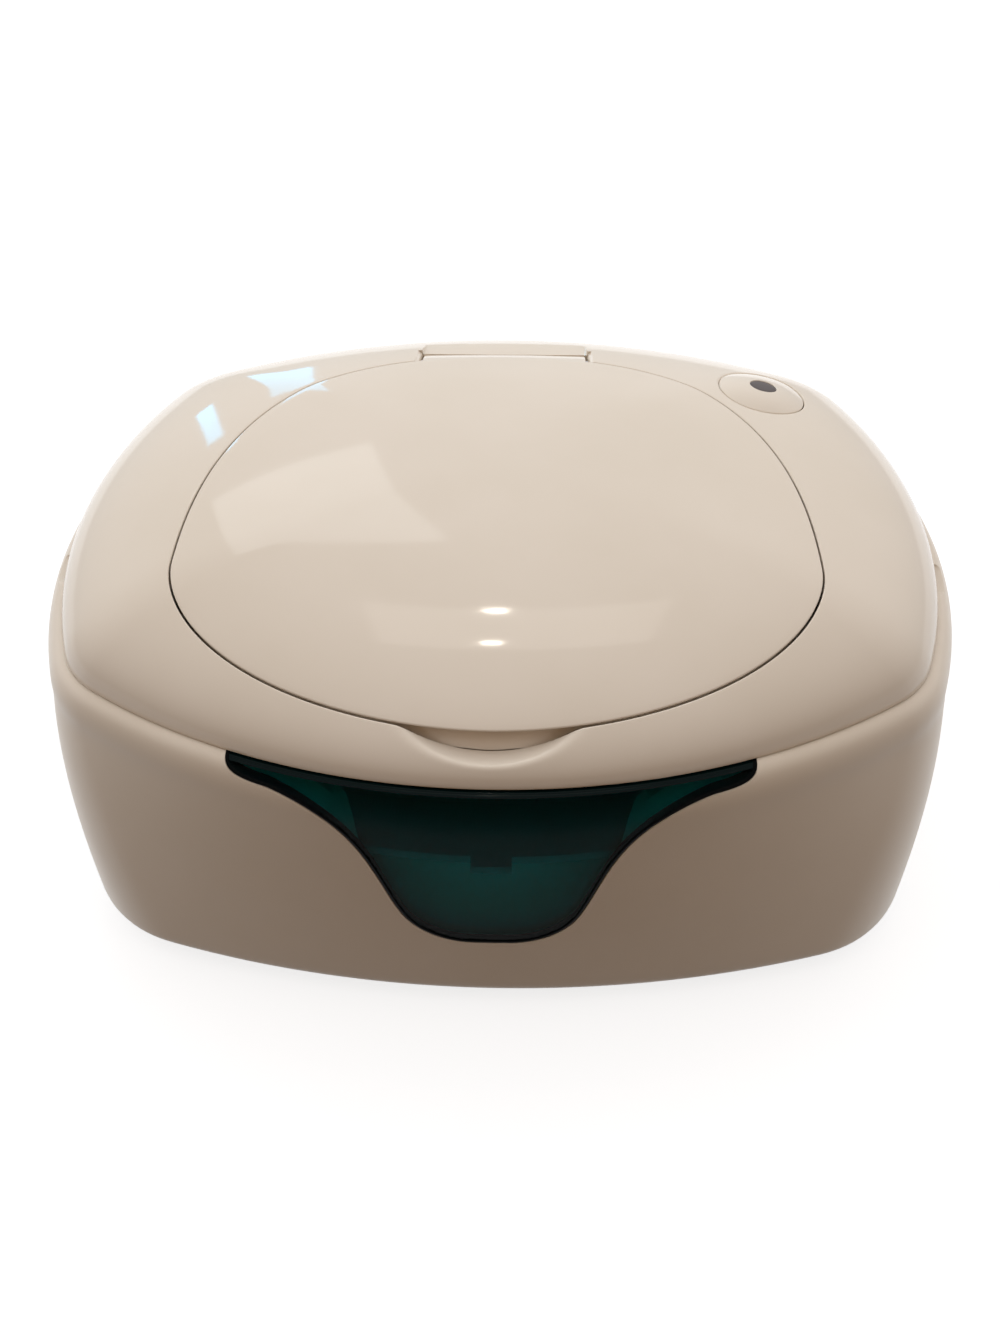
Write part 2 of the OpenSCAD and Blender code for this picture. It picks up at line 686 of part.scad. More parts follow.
// Board under the button, on posts from the liner
board_under = 15;
board_z = dome_z([button_x, button_y]) - board_under;
board_t = 1.6;
board_c = [button_x + 7, button_y - 1];
board_half = [15, 11];
post_at = [11, -7];
module board_posts() {
  for (s = [-1, 1])
    translate([board_c[0] + s * post_at[0], board_c[1] + s * post_at[1], liner_low + 0.5]) children();
}
module circuit_board() {
  color("darkgreen") lifted() difference() {
    translate([board_c[0] - board_half[0], board_c[1] - board_half[1], board_z])
      cube([2 * board_half[0], 2 * board_half[1], board_t]);
    board_posts() cylinder(h = 60, r = 1.1);
  }
}
module board_screw(s) {
  color("silver") lifted() translate([board_c[0] + s * post_at[0], board_c[1] + s * post_at[1], 0]) {
    translate([0, 0, board_z + board_t]) cylinder(h = 1.2, r = 2.2);
    translate([0, 0, board_z - 6]) cylinder(h = 8, r = 1);
  }
}
module board_screw_a() { board_screw(-1); }
module board_screw_b() { board_screw(1); }

stem_end = 9.3;
module light_switch() {
  color("dimgray") lifted() {
    at = [button_x - 0.9, button_y - 1.4];
    translate([at[0] - 3, at[1] - 3, board_z + board_t]) cube([6, 6, 2.4]);
    translate([at[0], at[1], board_z + board_t]) cylinder(h = 3.2, r = 1.6);
  }
}
module night_light() {
  color("aliceblue") lifted() translate([button_x + 6, button_y + 4, board_z + board_t]) {
    cylinder(h = 2.5, r = 2.5);
    translate([0, 0, 2.5]) sphere(r = 2.5);
  }
}

module power_jack() {
  color("black") lifted() translate([0, jack_face, jack_z]) rotate([90, 0, 0]) {
    difference() {
      cylinder(h = jack_len, r = jack_r);
      translate([0, 0, -1]) cylinder(h = 10, r = 2.9);
    }
    translate([0, 0, 1.5]) cylinder(h = 8, r = 1);
  }
}

// Six-sided wire through hand-chosen points
module wire(pts, r) {
  n = len(pts) - 1;
  cap_loft(pts[0], [for (i = [0:n])
    let (d = pts[min(n, i + 1)] - pts[max(0, i - 1)], f = d / norm(d), s = cross(f, [0, 0, 1]),
         u = norm(s) < 0.01 ? [1, 0, 0] : s / norm(s), v = cross(u, f))
    [for (k = [0:5]) pts[i] + r * (u * cos(60 * k) + v * sin(60 * k))]], pts[n]);
}
module power_lead() {
  y = jack_face - jack_len;
  end = [board_c[0], board_c[1] + board_half[1] - 2];
  color("crimson") lifted() wire([[0, y, jack_z], [0, y - 2, jack_z], [4, y - 4, jack_z],
    [end[0] * 0.3, y - 2, jack_z], [end[0] * 0.62, y - 4, jack_z], [end[0] - 11, y - 8, jack_z - 3],
    [end[0], end[1], board_z - 4], [end[0], end[1], board_z]], 1.2);
}
module heater_lead() {
  z = foil_top + 2;
  end = [board_c[0] - 2, board_c[1] - board_half[1] + 2];
  color("orange") lifted() wire([[fuse_x + 11, fuse_y, z], [fuse_x + 22, fuse_y, z],
    [end[0] - 10, fuse_y + 1, z], [end[0] - 3, fuse_y + 6, z + 4], [end[0], end[1], board_z - 4], [end[0], end[1], board_z]], 1);
}

module lid_pin(s) {
  color("silver") lifted() mirror([s > 0 ? 0 : 1, 0, 0])
    x_rod(tail_half - 10, tail_half + 5.2, lid_axis_y, lid_axis_z, lid_pin_d / 2);
}
module lid_pin_l() { lid_pin(-1); }
module lid_pin_r() { lid_pin(1); }

// Flip lid

function lid_row(s, grow, drop, inset) =
  [for (p = lid_line(grow, s)) [p[0], p[1], dome_z(p, inset) - drop]];
function lid_peak(drop, inset) = [lid_mid[0], lid_mid[1], dome_z(lid_mid, inset) - drop];

// Tail that ends in the hinge barrel, a little under the lid's skin
module tail() {
  y0 = lid_axis_y - 12;
  bar_loft([for (i = [0:6]) let (x = mix(-tail_half, tail_half, i / 6))
    concat([for (k = [3:-1:0]) let (y = y0 + 3 * k)
             [x, y, dome_z([x, y]) - tail_drop - max(0, k - 2) * tail_dip / 4]],
           [for (k = [0:2]) let (y = y0 + 3 * k) [x, y, dome_z([x, y]) - lid_t]],
           [for (t = [-160:25:90]) [x, lid_axis_y + barrel_r * cos(t), lid_axis_z + barrel_r * sin(t)]])]);
}

module flip_lid() {
  steps = [0.25, 0.5, 0.7, 0.85, 0.95, 1];
  color("ivory") lifted() difference() {
    union() {
      cap_loft(lid_peak(0, 0),
        concat([for (s = steps) lid_row(s, 0, 0, 0)],
               [lid_row(1, -skirt_draft, lid_skirt, 0), lid_row(1, -2, lid_skirt, 0)],
               [for (s = [1, 0.9, 0.7, 0.4]) lid_row(s, -2, 0, lid_t)]),
        lid_peak(0, lid_t));
      tail();
    }
    each_side() x_rod(tail_half - 10.5, tail_half + 1, lid_axis_y, lid_axis_z, lid_pin_d / 2 + 0.05);
  }
}

lid_floor = deck_top + seal_h + fit;
module lid_liner() {
  color("whitesmoke") lifted() cap_loft(lid_peak(0, lid_t + fit),
    concat([for (s = [0.4, 0.7, 0.9, 1]) lid_row(s, -9, 0, lid_t + fit)],
           [for (s = [1, 0.9, 0.7, 0.4]) lid_row(s, -9, lid_liner_t, lid_t + fit)]),
    lid_peak(lid_liner_t, lid_t + fit));
}

module lid_gasket() {
  function under(pts) = [for (p = pts) [p[0], p[1], dome_z(p, lid_t + fit) - lid_liner_t - 0.25]];
  color("silver") lifted() ring_loft([under(mouth_line(3.6)), under(mouth_line(1)),
    raise(mouth_line(1), lid_floor), raise(mouth_line(3.6), lid_floor)]);
}

// Light button

button_top = 1.6;
button_dome = 2.6;
lens_r = 3.9;
module light_button() {
  color("ivory") lifted() at_button() difference() {
    union() {
      cap_loft([0, 0, button_top],
        [for (k = [0.3, 0.6, 0.85, 0.96])
          raise(ellipse(button_half_x * k, button_half_y * k), button_top - button_dome * (1 - sqrt(1 - k * k))),
         raise(ellipse(button_half_x, button_half_y), button_top - button_dome),
         raise(ellipse(button_half_x, button_half_y), -5.6)],
        [0, 0, -5.6]);
      for (t = [0, 90, 165]) translate([button_half_x * cos(t), button_half_y * sin(t), -6.4])
        rotate([0, 0, t]) translate([-2, -3, 0]) cube([3.6, 6, 1.4]);
      translate([0, 0, -stem_end]) cylinder(h = stem_end - 5, r = 2.4);
    }
    translate([0, 0, button_top - 1]) cylinder(h = 3, r = lens_r + 0.1);
  }
}

module button_lens() {
  color("gray") lifted() at_button() translate([0, 0, button_top - 1]) cylinder(h = 0.8, r = lens_r);
}

body_shell();
window();
window_gasket();
wipe_tub();
tub_seal();
base_plate();
foot_fl();
foot_fr();
foot_bl();
foot_br();
base_screw_fl();
base_screw_fr();
base_screw_bl();
base_screw_br();
hinge_pin_l();
hinge_pin_r();
top_cover();
well_deck();
mouth_seal();
cover_liner();
heater_plate();
heater_foil();
heater_pad();
thermostat();
thermal_fuse();
circuit_board();
board_screw_a();
board_screw_b();
light_switch();
night_light();
power_jack();
power_lead();
heater_lead();
liner_screw_fl();
liner_screw_fr();
liner_screw_bl();
liner_screw_br();
lid_pin_l();
lid_pin_r();
flip_lid();
lid_liner();
lid_gasket();
light_button();
button_lens();
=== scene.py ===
import json
import math

import bmesh
import bpy
import numpy as np
from mathutils import Matrix, Vector


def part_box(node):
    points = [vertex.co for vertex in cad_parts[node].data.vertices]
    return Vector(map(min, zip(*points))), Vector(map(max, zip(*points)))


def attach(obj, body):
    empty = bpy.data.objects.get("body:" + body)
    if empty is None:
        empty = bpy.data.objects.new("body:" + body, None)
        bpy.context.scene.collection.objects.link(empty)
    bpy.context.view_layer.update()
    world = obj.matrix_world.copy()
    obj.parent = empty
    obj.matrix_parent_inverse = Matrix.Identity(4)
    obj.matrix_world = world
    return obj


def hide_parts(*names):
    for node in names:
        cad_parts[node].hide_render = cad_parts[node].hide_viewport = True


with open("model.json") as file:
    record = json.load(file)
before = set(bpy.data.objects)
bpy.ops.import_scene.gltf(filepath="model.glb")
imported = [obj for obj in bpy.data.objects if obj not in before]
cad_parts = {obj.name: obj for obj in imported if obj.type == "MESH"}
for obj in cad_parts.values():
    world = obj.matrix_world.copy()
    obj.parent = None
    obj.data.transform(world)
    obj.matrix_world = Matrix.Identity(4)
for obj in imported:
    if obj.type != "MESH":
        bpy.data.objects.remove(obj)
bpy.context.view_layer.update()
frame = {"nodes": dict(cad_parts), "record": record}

# Lengths are in millimetres over the shell's bottom edge until a mesh is made from them
MM = 0.001
DEG = math.pi / 180
FIT = 0.3
# Metres within which points of a mesh are one
WELD, SLIVER = 1e-7, 2e-6
# Points on each quarter of a ring: flank, corner, face
STEPS = (22, 18, 44)

# Lower body: half sizes, arcs of its outline, and how these change towards the base
FOOT_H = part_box("body_shell")[0].z / MM
HALF_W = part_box("body_shell")[1].x / MM
HALF_D = 99.0
BODY_H = 78.6
FACE_R, FLANK_R, CORNER_R = 180.0, 142.0, 32.0
BASE_IN_X, BASE_IN_Y, BASE_FLAT, BASE_CORNER = 5.0, 3.0, 150.0, 5.0
BASE_ROUND, BASE_BEND = 5.2, 1.1
# Shoulder under the seam, the rim behind it, and the ledge that carries the tub
SHOULDER, SHOULDER_P = 9.5, 2.25
RIM_IN, RIM_T, LEDGE_W, LEDGE_T, WALL = 5.2, 3.0, 3.0, 2.5, 2.6
WIDEST = BODY_H - SHOULDER
LEDGE_Z = WIDEST - 1

# Cover: its dome, whose lean is per 100 mm, and the floor and wall of the lid's well
DOME_RISE, DOME_SPREAD, DOME_LEAN, DOME_P, DOME_Q = 27.0, 0.42, 0.19, 2.32, 1.89
SEAM_GAP = 0.3
DECK_TOP = BODY_H + 3.4
DECK_T, WELL_WALL = 2.0, 2.2
# Flip lid: its oval with a front and a rear power, and its skirt
LID_HALF, LID_FRONT, LID_REAR, LID_WIDE_AT = 78.6, 84.8, 53.0, 40.0
LID_P_FRONT, LID_P_REAR = 1.9, 2.32
LID_GAP, LID_T, LID_SKIRT, LID_LINER_T = 1.0, 2.2, 5.4, 1.8
# The lid's hinge tail, its pocket in the cover, and the slope behind it
TAIL_HALF, LID_AXIS_Y, BARREL_R, TAIL_DIP = 24.4, 57.0, 2.9, 1.0
POCKET_GAP, POCKET_SOFT = 0.9, 2.2
POCKET_R, POCKET_HALF = BARREL_R + POCKET_GAP, TAIL_HALF + 0.8
BROW_UP, BROW_OUT, BROW_SOFT = 1.15, 11.0, 1.6
# Finger scoop: a bowl, and how softly it runs into the dome
SCOOP_R, SCOOP_STEEP, SCOOP_BACK, SCOOP_UP, SCOOP_SOFT = 36.0, 1.25, 0.6, 0.6, 1.1
MOUTH_HALF, MOUTH_AT, SEAL_H = (55.0, 34.0), 24.0, 1.2

# Light button: the hole's lip, how much wider than its solid it is, and its tilt in degrees
BUTTON_AT, BUTTON_HALF, BUTTON_GAP, BUTTON_TOP = (74.6, 36.5), (12.0, 12.5), 0.5, 1.6
BUTTON_LIP, BUTTON_WIDER, BUTTON_LOW = 0.7, 0.36, -5.6
BUTTON_BACK, BUTTON_SIDE = 7.0, 10.0
LENS_R, LENS_DEEP = 3.75, 1.0

# Window: the panel lies PANEL_BACK behind the wall and ends PANEL_TURN up the shoulder
WINDOW_LOW, WINDOW_HALF, WINDOW_SEAL, WINDOW_T = 25.4, 60.0, 0.95, 2.2
PANEL_BACK, PANEL_EDGE, PANEL_TURN = 0.3, 0.2, 76.0
SILL_R, SILL_HALF, SILL_TURN = 18.5, 4.5, 22.5 * DEG
WING_W, WING_Z = 10.0, BODY_H - 3.6
# Tub, with its low front wall, the notch in it, and the posts of the base screws
TUB_WALL, TUB_FLOOR, TUB_FRONT, TUB_FRONT_HALF = 2.0, 8.0, 45.0, 46.0
FLANGE_T, TUB_NOTCH_HALF, TUB_NOTCH_DEEP = 2.0, 5, 4
SCREW_AT, POST_R = (58.0, 42.0), 4.6
PLATE_IN, PLATE_LOW, PLATE_T = 12.0, 0.4, 2.2
FOOT_X, FOOT_Y, FOOT_R = 84, 58, 8.0

# Hinge of the cover, power jack, and the finger notches in the seam
KNUCKLE_R, HINGE_PIN_R, KNUCKLE_AT, KNUCKLE_LEN = 3.4, 1.5, 20.0, 12.0
KNUCKLE_EDGE, EAR_W, EAR_GAP = 0.5, 4.6, 0.4
HINGE_Y = HALF_D - RIM_IN + 0.4
HINGE_Z = BODY_H + SEAM_GAP
JACK_Z, JACK_R = BODY_H + 8, 4.6
JACK_FACE = HALF_D - RIM_IN - 13.3
PRY_AT, PRY_HALF, PRY_UP, PRY_HIGH = -18, 6, 0.6, 1.6


# Outlines in plan


def mix(a, b, k):
    return a + (b - a) * k


def corner_mid(a, b, rf, rs, rc):
    """Middle of the corner arc that runs into the face arc and the flank arc."""
    c1, c2 = np.array([0, b - rf]), np.array([a - rs, 0])
    d = c2 - c1
    length = np.hypot(*d)
    h = ((rf - rc) ** 2 - (rs - rc) ** 2 + length**2) / (2 * length)
    k = math.sqrt((rf - rc) ** 2 - h * h)
    return c1 + d * h / length + np.array([d[1], -d[0]]) * k / length


def arc(c, r, a0, a1, n):
    t = mix(a0, a1, np.arange(n) / n)
    return np.asarray(c) + r * np.stack([np.cos(t), np.sin(t)], 1)


def plan(a, b, rf, rs, rc):
    """Closed outline of tangent arcs, once round from +X."""
    c = corner_mid(a, b, rf, rs, rc)
    c1, c2 = np.array([0, b - rf]), np.array([a - rs, 0])
    t2, t1 = math.atan2(*(c - c2)[::-1]), math.atan2(*(c - c1)[::-1])
    q = np.vstack([
        arc(c2, rs, 0, t2, STEPS[0]),
        arc(c, rc, t2, t1, STEPS[1]),
        arc(c1, rf, t1, math.pi / 2, STEPS[2]),
        [[0, b]],
    ])
    n = len(q) - 1
    back = q[n:0:-1]
    return np.vstack([q[:n], back * [-1, 1], -q[:n], back * [1, -1]])


def narrow(z):
    return max(0.0, 1 - z / WIDEST) ** BASE_BEND


def tuck(z):
    """How far the outline is drawn in by the shoulder or the bottom edge's rounding."""
    if z > WIDEST:
        up = ((z - WIDEST) / SHOULDER) ** SHOULDER_P
        return RIM_IN * (1 - max(0.0, 1 - up) ** (1 / SHOULDER_P))
    if z < BASE_ROUND:
        return BASE_ROUND - math.sqrt(BASE_ROUND**2 - (BASE_ROUND - z) ** 2)
    return 0.0


def body_line(z, inset=0.0):
    """Outline of the body at a height, drawn in by inset."""
    g = narrow(z)
    return plan(
        HALF_W - BASE_IN_X * g - inset,
        HALF_D - BASE_IN_Y * g - inset,
        FACE_R + BASE_FLAT * g - inset,
        FLANK_R + 2 * BASE_FLAT * g - inset,
        CORNER_R + BASE_CORNER * g - inset,
    )


def seam_line(inset=0.0):
    return body_line(BODY_H, RIM_IN + inset)


def seam_reach(p, inset=0.0):
    """Distance from the middle to the seam line, drawn in by inset, towards each point."""
    i = RIM_IN + inset
    a, b, rf, rs, rc = HALF_W - i, HALF_D - i, FACE_R - i, FLANK_R - i, CORNER_R - i
    c, c1, c2 = corner_mid(a, b, rf, rs, rc), np.array([0, b - rf]), np.array([a - rs, 0])
    t1, t2 = c + rc * (c - c1) / np.hypot(*(c - c1)), c + rc * (c - c2) / np.hypot(*(c - c2))
    far = np.maximum(np.hypot(p[:, 0], p[:, 1]), 0.001)
    u = np.abs(p) / far[:, None]
    turn = np.arctan2(u[:, 1], u[:, 0])

    def hit(mid, r):
        d = u @ mid
        return d + np.sqrt(np.maximum(0, d * d - mid @ mid + r * r))

    on_flank, on_face = turn < math.atan2(t2[1], t2[0]), turn > math.atan2(t1[1], t1[0])
    return np.where(on_flank, hit(c2, rs), np.where(on_face, hit(c1, rf), hit(c, rc)))


def dome_z(p, inset=0.0):
    """Height of the dome at plan points, for a skin that lies inset inside it."""
    p = np.atleast_2d(np.asarray(p, float))[:, :2]
    r = np.minimum(1, np.hypot(p[:, 0], p[:, 1]) / seam_reach(p, inset))
    rise = DOME_RISE * (1 + DOME_SPREAD * (p[:, 0] / HALF_W) ** 2 + DOME_LEAN * p[:, 1] / 100)
    return BODY_H + (rise - inset) * np.maximum(0, 1 - r**DOME_P) ** (1 / DOME_Q)


LID_MID = np.array([0, (LID_REAR - LID_FRONT) / 2])
SEAM = seam_line()
TURNS = np.arctan2(SEAM[:, 1], SEAM[:, 0])
AROUND = np.stack([np.cos(TURNS), np.sin(TURNS)], 1)


def lid_reach():
    """Distance from the lid's middle to its oval, towards each of TURNS, by bisection."""
    lo, hi = np.full(len(TURNS), 20.0), np.full(len(TURNS), 130.0)
    for _ in range(40):
        m = (lo + hi) / 2
        p = LID_MID + [0, LID_WIDE_AT] + m[:, None] * AROUND
        front = p[:, 1] < 0
        n = np.where(front, LID_P_FRONT, LID_P_REAR)
        b = np.where(front, LID_FRONT - LID_WIDE_AT, LID_REAR + LID_WIDE_AT)
        out = np.abs(p[:, 0] / LID_HALF) ** n + np.abs(p[:, 1] / b) ** n > 1
        lo, hi = np.where(out, lo, m), np.where(out, m, hi)
    return lo


LID_REACH = lid_reach()
LID_AXIS_Z = dome_z([[0, LID_AXIS_Y]])[0] - BARREL_R - POCKET_GAP
# Lid and well are each this much closer than their solids, most at the back, for a fine line
LID_CLOSER = 0.26 + 0.15 * np.clip(np.sin(TURNS) * 1.3, 0, 1)


def lid_line(grow=0.0, s=1.0):
    return LID_MID + s * (LID_REACH + grow)[:, None] * AROUND


def ellipse(rx, ry, n=96, mid=(0, 0)):
    t = np.arange(n) * 2 * math.pi / n
    return np.asarray(mid) + np.stack([rx * np.cos(t), ry * np.sin(t)], 1)


def raise_to(p, z):
    return np.column_stack([p[:, :2], np.broadcast_to(z, len(p))])


# Meshes


def loft(rows, joined=False, first=None, last=None):
    """Rows of points as one skin: joined in a ring, or closed by two end points."""
    m, n = len(rows), len(rows[0])
    pts = np.vstack(rows)
    faces = []
    for i in range(m if joined else m - 1):
        a, b = i * n, ((i + 1) % m) * n
        faces += [(a + j, a + (j + 1) % n, b + (j + 1) % n, b + j) for j in range(n)]
    for end, row in ((first, 0), (last, (m - 1) * n)):
        if end is not None:
            pts = np.vstack([pts, [end]])
            faces += [(len(pts) - 1, row + j, row + (j + 1) % n) for j in range(n)]
    return pts, faces


def bar(loops):
    """Closed bar through flat loops of points."""
    m, n = len(loops), len(loops[0])
    pts, faces = loft(loops)
    return pts, [*faces, tuple(range(n)), tuple((m - 1) * n + j for j in range(n))]


def lathe(profile, at, axis=(0, 0, 1), n=48):
    """Solid of revolution from (radius, height) pairs that start and end on the axis."""
    turn = Vector((0, 0, 1)).rotation_difference(Vector(axis)).to_matrix()
    t = np.arange(n) * 2 * math.pi / n
    rings = [raise_to(np.column_stack([r * np.cos(t), r * np.sin(t)]), h) for r, h in profile[1:-1]]
    ends = [[0, 0, profile[0][1]], [0, 0, profile[-1][1]]]
    pts, faces = loft(rings, first=ends[0], last=ends[1])
    return pts @ np.array(turn).T + np.asarray(at), faces


def cylinder(r, length, at, axis=(0, 0, 1)):
    return lathe([(0, 0), (r, 0), (r, length), (0, length)], at, axis)


def prism(outline, y0, y1):
    """Closed outline in x and z, drawn through from y0 to y1."""
    x, z = outline.T
    return bar([np.column_stack([x, np.full(len(x), y), z]) for y in (y0, y1)])


def across(outline, x0, x1):
    """Closed outline in y and z, drawn through from x0 to x1."""
    return bar([np.column_stack([np.full(len(outline), x), outline]) for x in (x0, x1)])


def slab(outline, z0, z1):
    return bar([raise_to(outline, z0), raise_to(outline, z1)])


def block(lo, hi):
    x0, y0, z0 = lo
    x1, y1, z1 = hi
    return slab(np.array([[x0, y0], [x1, y0], [x1, y1], [x0, y1]], float), z0, z1)


def hinge_rod(ends, r, edge=0.0):
    """Rod on the axis of the cover's hinge, with rounded ends."""
    x0, x1 = sorted(ends)
    length = x1 - x0
    rim = [(0, 0), (r - edge, 0), (r - edge * 0.3, edge * 0.3), (r, edge)]
    profile = rim + [(a, length - h) for a, h in rim[::-1]]
    return lathe(profile, (x0, HINGE_Y, HINGE_Z), (1, 0, 0))


def new_mesh(name, solid):
    """Mesh in metres from points over the shell's bottom edge."""
    pts, faces = solid
    mesh = bpy.data.meshes.new(name)
    mesh.from_pydata([tuple(p) for p in (np.asarray(pts) + [0, 0, FOOT_H]) * MM], [], faces)
    bm = bmesh.new()
    bm.from_mesh(mesh)
    bmesh.ops.remove_doubles(bm, verts=bm.verts, dist=WELD)
    bmesh.ops.recalc_face_normals(bm, faces=bm.faces)
    bm.to_mesh(mesh)
    bm.free()
    return mesh


def new_object(name, solid):
    o = bpy.data.objects.new(name, new_mesh(name, solid))
    bpy.context.scene.collection.objects.link(o)
    return o


def join(solid):
    return "UNION", solid


def cut(solid):
    return "DIFFERENCE", solid


def shape(o, steps):
    """Joins solids to o or cuts them out of it, in order."""
    tools = []
    for operation, solid in steps:
        tool = new_object("tool", solid)
        tool.hide_render = True
        m = o.modifiers.new("shape", "BOOLEAN")
        m.operation, m.object, m.solver = operation, tool, "MANIFOLD"
        tools.append(tool)
    graph = bpy.context.evaluated_depsgraph_get()
    made = bpy.data.meshes.new_from_object(o.evaluated_get(graph))
    o.modifiers.clear()
    o.data = made
    for tool in tools:
        bpy.data.objects.remove(tool)
    return o


def smooth(o, angle=32.0):
    """Smooth shading, with edges sharper than the angle kept as edges."""
    bm = bmesh.new()
    bm.from_mesh(o.data)
    bmesh.ops.remove_doubles(bm, verts=bm.verts, dist=SLIVER)
    bmesh.ops.dissolve_degenerate(bm, edges=bm.edges, dist=SLIVER)
    for f in bm.faces:
        f.smooth = True
    for e in bm.edges:
        e.smooth = e.calc_face_angle(math.pi) < math.radians(angle)
    bm.to_mesh(o.data)
    bm.free()
    return o


def place(o, material, body, slot, *nodes):
    """Gives a piece its look, the solids that it stands for and its body; slot is not used."""
    o.data.materials.clear()
    o.data.materials.append(material)
    if nodes:
        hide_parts(*nodes)
    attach(o, body)
    return o


# Materials


class Shader:
    """Small helper that strings shader nodes together."""

    def __init__(self, name):
        self.material = bpy.data.materials.new(name)
        self.material.use_nodes = True
        self.tree = self.material.node_tree
        self.bsdf = self.tree.nodes["Principled BSDF"]
        self.where = self.add("ShaderNodeTexCoord").outputs["Object"]

    def add(self, kind, **values):
        node = self.tree.nodes.new(kind)
        for key, value in values.items():
            setattr(node, key, value)
        return node

    def link(self, a, b):
        self.tree.links.new(a, b)

    def noise(self, scale, detail=3.0, stretch=None, rough=0.5):
        node = self.add("ShaderNodeTexNoise")
        node.inputs["Scale"].default_value = scale
        node.inputs["Detail"].default_value = detail
        node.inputs["Roughness"].default_value = rough
        where = self.where
        if stretch:
            m = self.add("ShaderNodeMapping")
            m.inputs["Scale"].default_value = stretch
            self.link(where, m.inputs["Vector"])
            where = m.outputs["Vector"]
        self.link(where, node.inputs["Vector"])
        return node.outputs["Fac"]

    def span(self, value, lo, hi, start=0.3, end=0.7, kind="LINEAR"):
        """From lo to hi as the value goes from start to end."""
        node = self.add("ShaderNodeMapRange", interpolation_type=kind)
        node.inputs["From Min"].default_value = start
        node.inputs["From Max"].default_value = end
        node.inputs["To Min"].default_value = lo
        node.inputs["To Max"].default_value = hi
        self.link(value, node.inputs["Value"])
        return node.outputs["Result"]

    def blend(self, fac, a, b):
        node = self.add("ShaderNodeMix", data_type="RGBA")
        self.link(fac, node.inputs["Factor"])
        for socket, value in (("A", a), ("B", b)):
            target = [i for i in node.inputs if i.name == socket and i.type == "RGBA"][0]
            if isinstance(value, tuple):
                target.default_value = (*value, 1)
            else:
                self.link(value, target)
        return [o for o in node.outputs if o.type == "RGBA"][0]

    def bump(self, height, strength, distance):
        node = self.add("ShaderNodeBump")
        node.inputs["Strength"].default_value = strength
        node.inputs["Distance"].default_value = distance
        self.link(height, node.inputs["Height"])
        before = self.bsdf.inputs["Normal"]
        if before.is_linked:
            self.link(before.links[0].from_socket, node.inputs["Normal"])
        self.link(node.outputs["Normal"], before)

    def reckon(self, operation, a, b):
        node = self.add("ShaderNodeMath", operation=operation)
        for i, value in enumerate((a, b)):
            if isinstance(value, float):
                node.inputs[i].default_value = value
            else:
                self.link(value, node.inputs[i])
        return node.outputs[0]

    def from_camera(self):
        """1 on rays the camera sees, also in gloss or through a panel, and 0 on light's own way."""
        path = self.add("ShaderNodeLightPath").outputs
        seen = path["Is Camera Ray"]
        for name in ("Is Glossy Ray", "Is Transmission Ray"):
            seen = self.reckon("MAXIMUM", seen, path[name])
        return self.reckon("MULTIPLY", seen, self.reckon("LESS_THAN", path["Diffuse Depth"], 0.5))

    def choose(self, light, seen, kind):
        """Ends the tree with one shader for the light and another for what the camera sees."""
        both = self.add("ShaderNodeMixShader")
        out = [n for n in self.tree.nodes if n.type == kind][0]
        for i, value in enumerate((self.from_camera(), light, seen)):
            self.link(value, both.inputs[i])
        self.link(both.outputs[0], out.inputs["Surface"])

    def put(self, socket, value):
        self.bsdf.inputs[socket].default_value = value


def darker(colour, share):
    return tuple(c * share for c in colour)


def plastic(name, colour, rough, coat=0.0, grain=0.02, shine=0.5):
    """Moulded plastic: faint flow mottling, slightly uneven gloss and fine orange peel."""
    s = Shader(name)
    clouds = s.span(s.noise(24, 4), 0, 1, 0.35, 0.68)
    warm = tuple(c * 0.965 * k for c, k in zip(colour, (1, 0.995, 0.98)))
    s.link(s.blend(clouds, colour, warm), s.bsdf.inputs["Base Color"])
    s.link(s.span(s.noise(70, 4), rough * 0.92, rough * 1.1), s.bsdf.inputs["Roughness"])
    s.bump(s.noise(420, 2), grain, 0.0001)
    s.bump(s.noise(60, 2), grain, 0.0006)
    s.put("IOR", 1.5)
    s.put("Specular IOR Level", shine)
    s.put("Coat Weight", coat)
    s.put("Coat Roughness", 0.06)
    return s.material


def textured_plastic(name, colour, rough=0.5):
    """Spark-eroded plastic of the hidden parts."""
    s = Shader(name)
    clouds = s.span(s.noise(18, 4), 0, 1, 0.35, 0.7)
    s.link(s.blend(clouds, colour, darker(colour, 0.93)), s.bsdf.inputs["Base Color"])
    s.link(s.span(s.noise(120, 3), rough * 0.9, rough * 1.12), s.bsdf.inputs["Roughness"])
    s.bump(s.noise(1400, 2), 0.12, 0.0002)
    return s.material


def clear_teal(name, colour):
    """Tinted clear panel with faint moulding waves and a few fine rub marks."""
    s = Shader(name)
    clouds = s.span(s.noise(30, 3), 0, 1)
    s.link(s.blend(clouds, colour, darker(colour, 0.9)), s.bsdf.inputs["Base Color"])
    rubs = s.noise(70, 6, (1, 7, 1), 0.7)
    s.link(s.span(rubs, 0.015, 0.06, 0.35, 0.8), s.bsdf.inputs["Roughness"])
    s.bump(s.noise(35, 2), 0.02, 0.0006)
    s.put("Transmission Weight", 1.0)
    # Low, or the panel mirrors the white surround
    s.put("IOR", 1.09)
    return s.material


def rubber(name, colour, rough, shade=0.8, shine=0.5):
    """Dull rubber, mottled down to a share of its colour."""
    s = Shader(name)
    clouds = s.span(s.noise(90, 4), 0, 1)
    s.link(s.blend(clouds, colour, darker(colour, shade)), s.bsdf.inputs["Base Color"])
    s.put("Specular IOR Level", shine)
    s.link(s.span(s.noise(300, 3), rough * 0.85, rough * 1.1), s.bsdf.inputs["Roughness"])
    s.bump(s.noise(1800, 2), 0.15, 0.00015)
    return s.material


